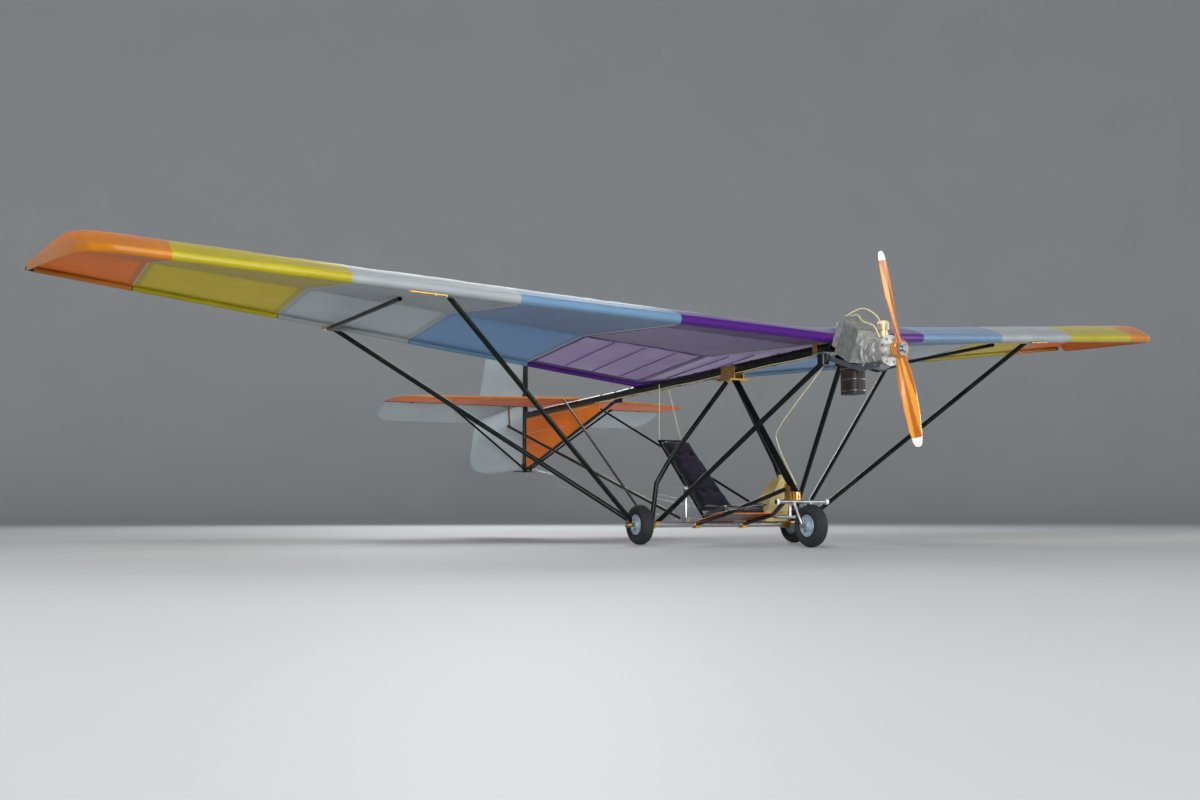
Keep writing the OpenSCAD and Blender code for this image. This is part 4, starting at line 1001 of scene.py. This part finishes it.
class MICROLIGHT_OT_rigging(bpy.types.Operator):
    """Stretch the control cables and tie the wires, and bolt the brackets and strut ends"""

    bl_idname = "microlight.rigging"
    bl_label = "Cables, wires and bolts"
    bl_options = {"REGISTER", "UNDO"}

    def execute(self, context):
        s = settings()
        r = s.cable / 2
        cables, wires, bolts = [], [], []
        for side in (-1, 1):
            arm = at(side * 118, 3150 - side * 55, 568)
            cables.append(sweep([arm, at(side * 290, 60, 158)], r, 0, 8))
            cables.append(sweep([at(side * 290, 60, 158), at(side * 180, -925, 277)], r, 0, 8))
            cables.append(sweep([at(side * 20, 3090, 590), at(side * 610, 20, 150)], r, 0, 8))
            cables.append(sweep([at(side * 24, 3110, 1830), at(side * 900, 2990, 1144)], r, 0, 8))
            # Turnbuckles near the ends of the cables
            for a, b in ((arm, at(side * 290, 60, 158)), (at(side * 20, 3090, 590), at(side * 610, 20, 150))):
                way = (b - a).normalized()
                cables.append(sweep([a + way * 0.1, a + way * 0.105, a + way * 0.155, a + way * 0.16],
                                    [0.0025, 0.0045, 0.0045, 0.0025], 0, 10))
        piece("control_cables", joined(cables), "tail_post", "cable", slot="bare_alloy")
        for x, sag in ((-26, 6), (26, 10)):
            path = [at(x + 2 * math.sin(y / 90), y,
                       keel_z(y) - 30 - sag * math.sin((y + 1200) / 190) ** 2 * 0.6)
                    for y in np.linspace(-1180, 1750, 120)]
            wires.append(sweep(path, 0.0032, 0, 8))
        drop = curve_through([at(0, -1160, 1160), at(24, -1120, 1090), at(10, -700, 760), at(30, -640, 640),
                              at(28, -830, 380)], 12)
        wires.append(sweep(drop, 0.003, 0, 8))
        for y in np.arange(-1100, 1700, 230):
            tube_r = 0.0335 if y < 1310 else 0.030
            loop = [at(0, y, keel_z(y)) + Vector((tube_r * math.cos(a), 0, tube_r * math.sin(a)))
                    for a in np.linspace(0, 2 * math.pi, 24, endpoint=False)]
            wires.append(sweep(loop, 0.0018, 1, 6, closed=True))
        piece("keel_wires", joined(wires), "keel_tube", "wire_cream", "black_plastic", slot="webbing")
        for side in (-1, 1):
            for y, z in ((-240, 1150), (-190, 1142), (-240, 1112), (-150, 1110), (-186, 1112)):
                bolts += bolt(at(side * 38.4, y, z), (side, 0, 0), 0.007)
            for y in (-22, 22):
                bolts += bolt(at(side * 701, y, 152), (side, 0, 0), 0.0065)
            for y, z in ((-840, 330), (-812, 352), (-800, 300)):
                bolts += bolt(at(side * 28.4, y, z), (side, 0, 0), 0.006)
            for x, y in ((2230, -664), (2290, -649)):
                bolts += bolt(at(side * x, y, 1413 + (x - 2230) * RISE), (0, 0, -1), 0.008)
            for x in (2376, 2416):
                yy, zz = edges(x)[1]
                bolts += bolt(at(side * x, yy, zz - 29), (0, 0, -1), 0.007)
            for y, z in ((-1700, 1040), (-1600, 1048), (-1330, 1124)):
                bolts += bolt(at(side * 61.3, y, z), (side, 0, 0), 0.007)
        piece("frame_bolts", joined(bolts), "keel_bracket", "plate_steel", slot="plate_steel")
        return {"FINISHED"}


class MICROLIGHT_OT_controls(bpy.types.Operator):
    """Fit the grip, the tank's cap and strap and the foot bar's ends"""

    bl_idname = "microlight.controls"
    bl_label = "Controls and tank fittings"
    bl_options = {"REGISTER", "UNDO"}

    def execute(self, context):
        grip = [at(-262, 8, z) for z in np.linspace(318, 400, 12)]
        radii = [0.0115 + 0.0022 * math.cos(k * 1.7) for k in range(12)]
        parts = [sweep(grip, radii, 0, 24)]
        low, high = CAD_BOX["fuel_tank"]
        cap = Vector((high.x - 0.056, low.y + 0.042, high.z - 0.004))
        rows = [(0, 0.029), (0.016, 0.029), (0.019, 0.026), (0.019, 0)]
        parts.append(lathe(rows, cap, (0, 0, 1), 0, 18))
        strap = [Vector((x, y, low.z + 0.115)) for x, y in (
            (low.x + 0.008, low.y + 0.076), (high.x + 0.0015, low.y + 0.076), (high.x + 0.0015, high.y - 0.04),
            (low.x + 0.008, high.y - 0.04))]
        parts.append(sweep(strap, 0.004, 0, 8, closed=True, flat=2.6))
        for side in (-1, 1):
            parts.append(sweep([at(side * x, -925, 275) for x in (176, 182, 188, 194)],
                               [0.0158, 0.0166, 0.0166, 0.0158], 1, 20))
        piece("hand_fittings", joined(parts), "control_stick", "black_plastic", "white_paint", slot="rod_black")
        return {"FINISHED"}


class MICROLIGHT_OT_finishes(bpy.types.Operator):
    """Give every CAD node that stays in sight its material"""

    bl_idname = "microlight.finishes"
    bl_label = "Finishes of the frame"
    bl_options = {"REGISTER", "UNDO"}

    def execute(self, context):
        for node, obj in frame["nodes"].items():
            name = SLOT_OF[node]
            obj.data.materials.clear()
            obj.data.materials.append(material(name if name in MATERIALS else "cloth_white"))
            finish_mesh(obj.data, 35)
        return {"FINISHED"}


# ---- Studio ----


class MICROLIGHT_OT_stage(bpy.types.Operator):
    """Build the pale studio floor, the lights and the camera"""

    bl_idname = "microlight.stage"
    bl_label = "Studio"
    bl_options = {"REGISTER", "UNDO"}

    def execute(self, context):
        scene = bpy.context.scene
        # A round floor that curves up into a wall on every side
        flat, bend, top = 22.0, 6.0, 16.0
        profile = [(0.0, 0.01), (0.0, flat)]
        profile += [(bend - bend * math.cos(a), flat + bend * math.sin(a))
                    for a in np.linspace(0.1, math.pi / 2, 14)]
        profile.append((top, flat + bend))
        mesh = joined([lathe(profile, Vector((0, 0, -0.001)), (0, 0, 1), 0, 96)])
        mesh.materials.append(material("studio"))
        finish_mesh(mesh, 80)
        floor = bpy.data.objects.new("studio_floor", mesh)
        scene.collection.objects.link(floor)
        world = bpy.data.worlds.new("studio_air")
        world.use_nodes = True
        background = world.node_tree.nodes["Background"]
        background.inputs["Color"].default_value = linear_rgb("#DDE3EA")
        background.inputs["Strength"].default_value = 0.36
        scene.world = world
        # Position, aim, size and power of each soft light; the low ones reach the wing's underside
        for name, place, aim, size, power in (
            ("key", (-7, -8, 7), (0, 0, 1), 4, 760),
            ("fill", (8, -7, 3.5), (0, 0, 1), 6, 300),
            ("rim", (3, 9, 6), (0, 1, 1), 5, 600),
            ("low_front", (-8.5, -17, 1.6), (-0.8, -0.5, 1.5), 2, 1900),
            ("low_port", (14, -10, 1.2), (1.5, 0, 1.4), 2, 800),
        ):
            data = bpy.data.lights.new(name, "AREA")
            data.size, data.energy = size, power
            lamp = bpy.data.objects.new(name, data)
            lamp.location = place
            lamp.rotation_euler = (Vector(aim) - Vector(place)).to_track_quat("-Z", "Y").to_euler()
            lamp.visible_camera = False
            scene.collection.objects.link(lamp)
        camera = bpy.data.objects.new("camera", bpy.data.cameras.new("camera"))
        camera.data.lens = 40
        camera.location = (-4.93, -8.5, 0.22)
        target = Vector((-0.42, 0.0, 1.02))
        camera.rotation_euler = (target - camera.location).to_track_quat("-Z", "Y").to_euler()
        camera.data.clip_end = 200
        scene.collection.objects.link(camera)
        scene.camera = camera
        scene.view_settings.view_transform = "Standard"
        scene.view_settings.exposure = -0.35
        return {"FINISHED"}


STEPS = (
    MICROLIGHT_OT_finishes, MICROLIGHT_OT_sails, MICROLIGHT_OT_battens, MICROLIGHT_OT_tail,
    MICROLIGHT_OT_wheels, MICROLIGHT_OT_seat, MICROLIGHT_OT_engine, MICROLIGHT_OT_propeller,
    MICROLIGHT_OT_rigging, MICROLIGHT_OT_controls, MICROLIGHT_OT_stage,
)


class MICROLIGHT_PT_panel(bpy.types.Panel):
    """Settings and steps of the microlight, in the sidebar"""

    bl_label = "Microlight"
    bl_idname = "MICROLIGHT_PT_panel"
    bl_space_type = "VIEW_3D"
    bl_region_type = "UI"
    bl_category = "Microlight"

    def draw(self, context):
        for name in MicrolightSettings.__annotations__:
            self.layout.prop(context.scene.microlight, name)
        for step in STEPS:
            self.layout.operator(step.bl_idname)


CLASSES = (MicrolightSettings, *STEPS, MICROLIGHT_PT_panel)


def register():
    for cls in CLASSES:
        bpy.utils.register_class(cls)
    bpy.types.Scene.microlight = bpy.props.PointerProperty(type=MicrolightSettings)


def unregister():
    del bpy.types.Scene.microlight
    for cls in reversed(CLASSES):
        bpy.utils.unregister_class(cls)


def main():
    register()
    build_materials()
    for step in STEPS:
        getattr(bpy.ops.microlight, step.bl_idname.split(".")[1])()


if __name__ == "__main__":
    main()
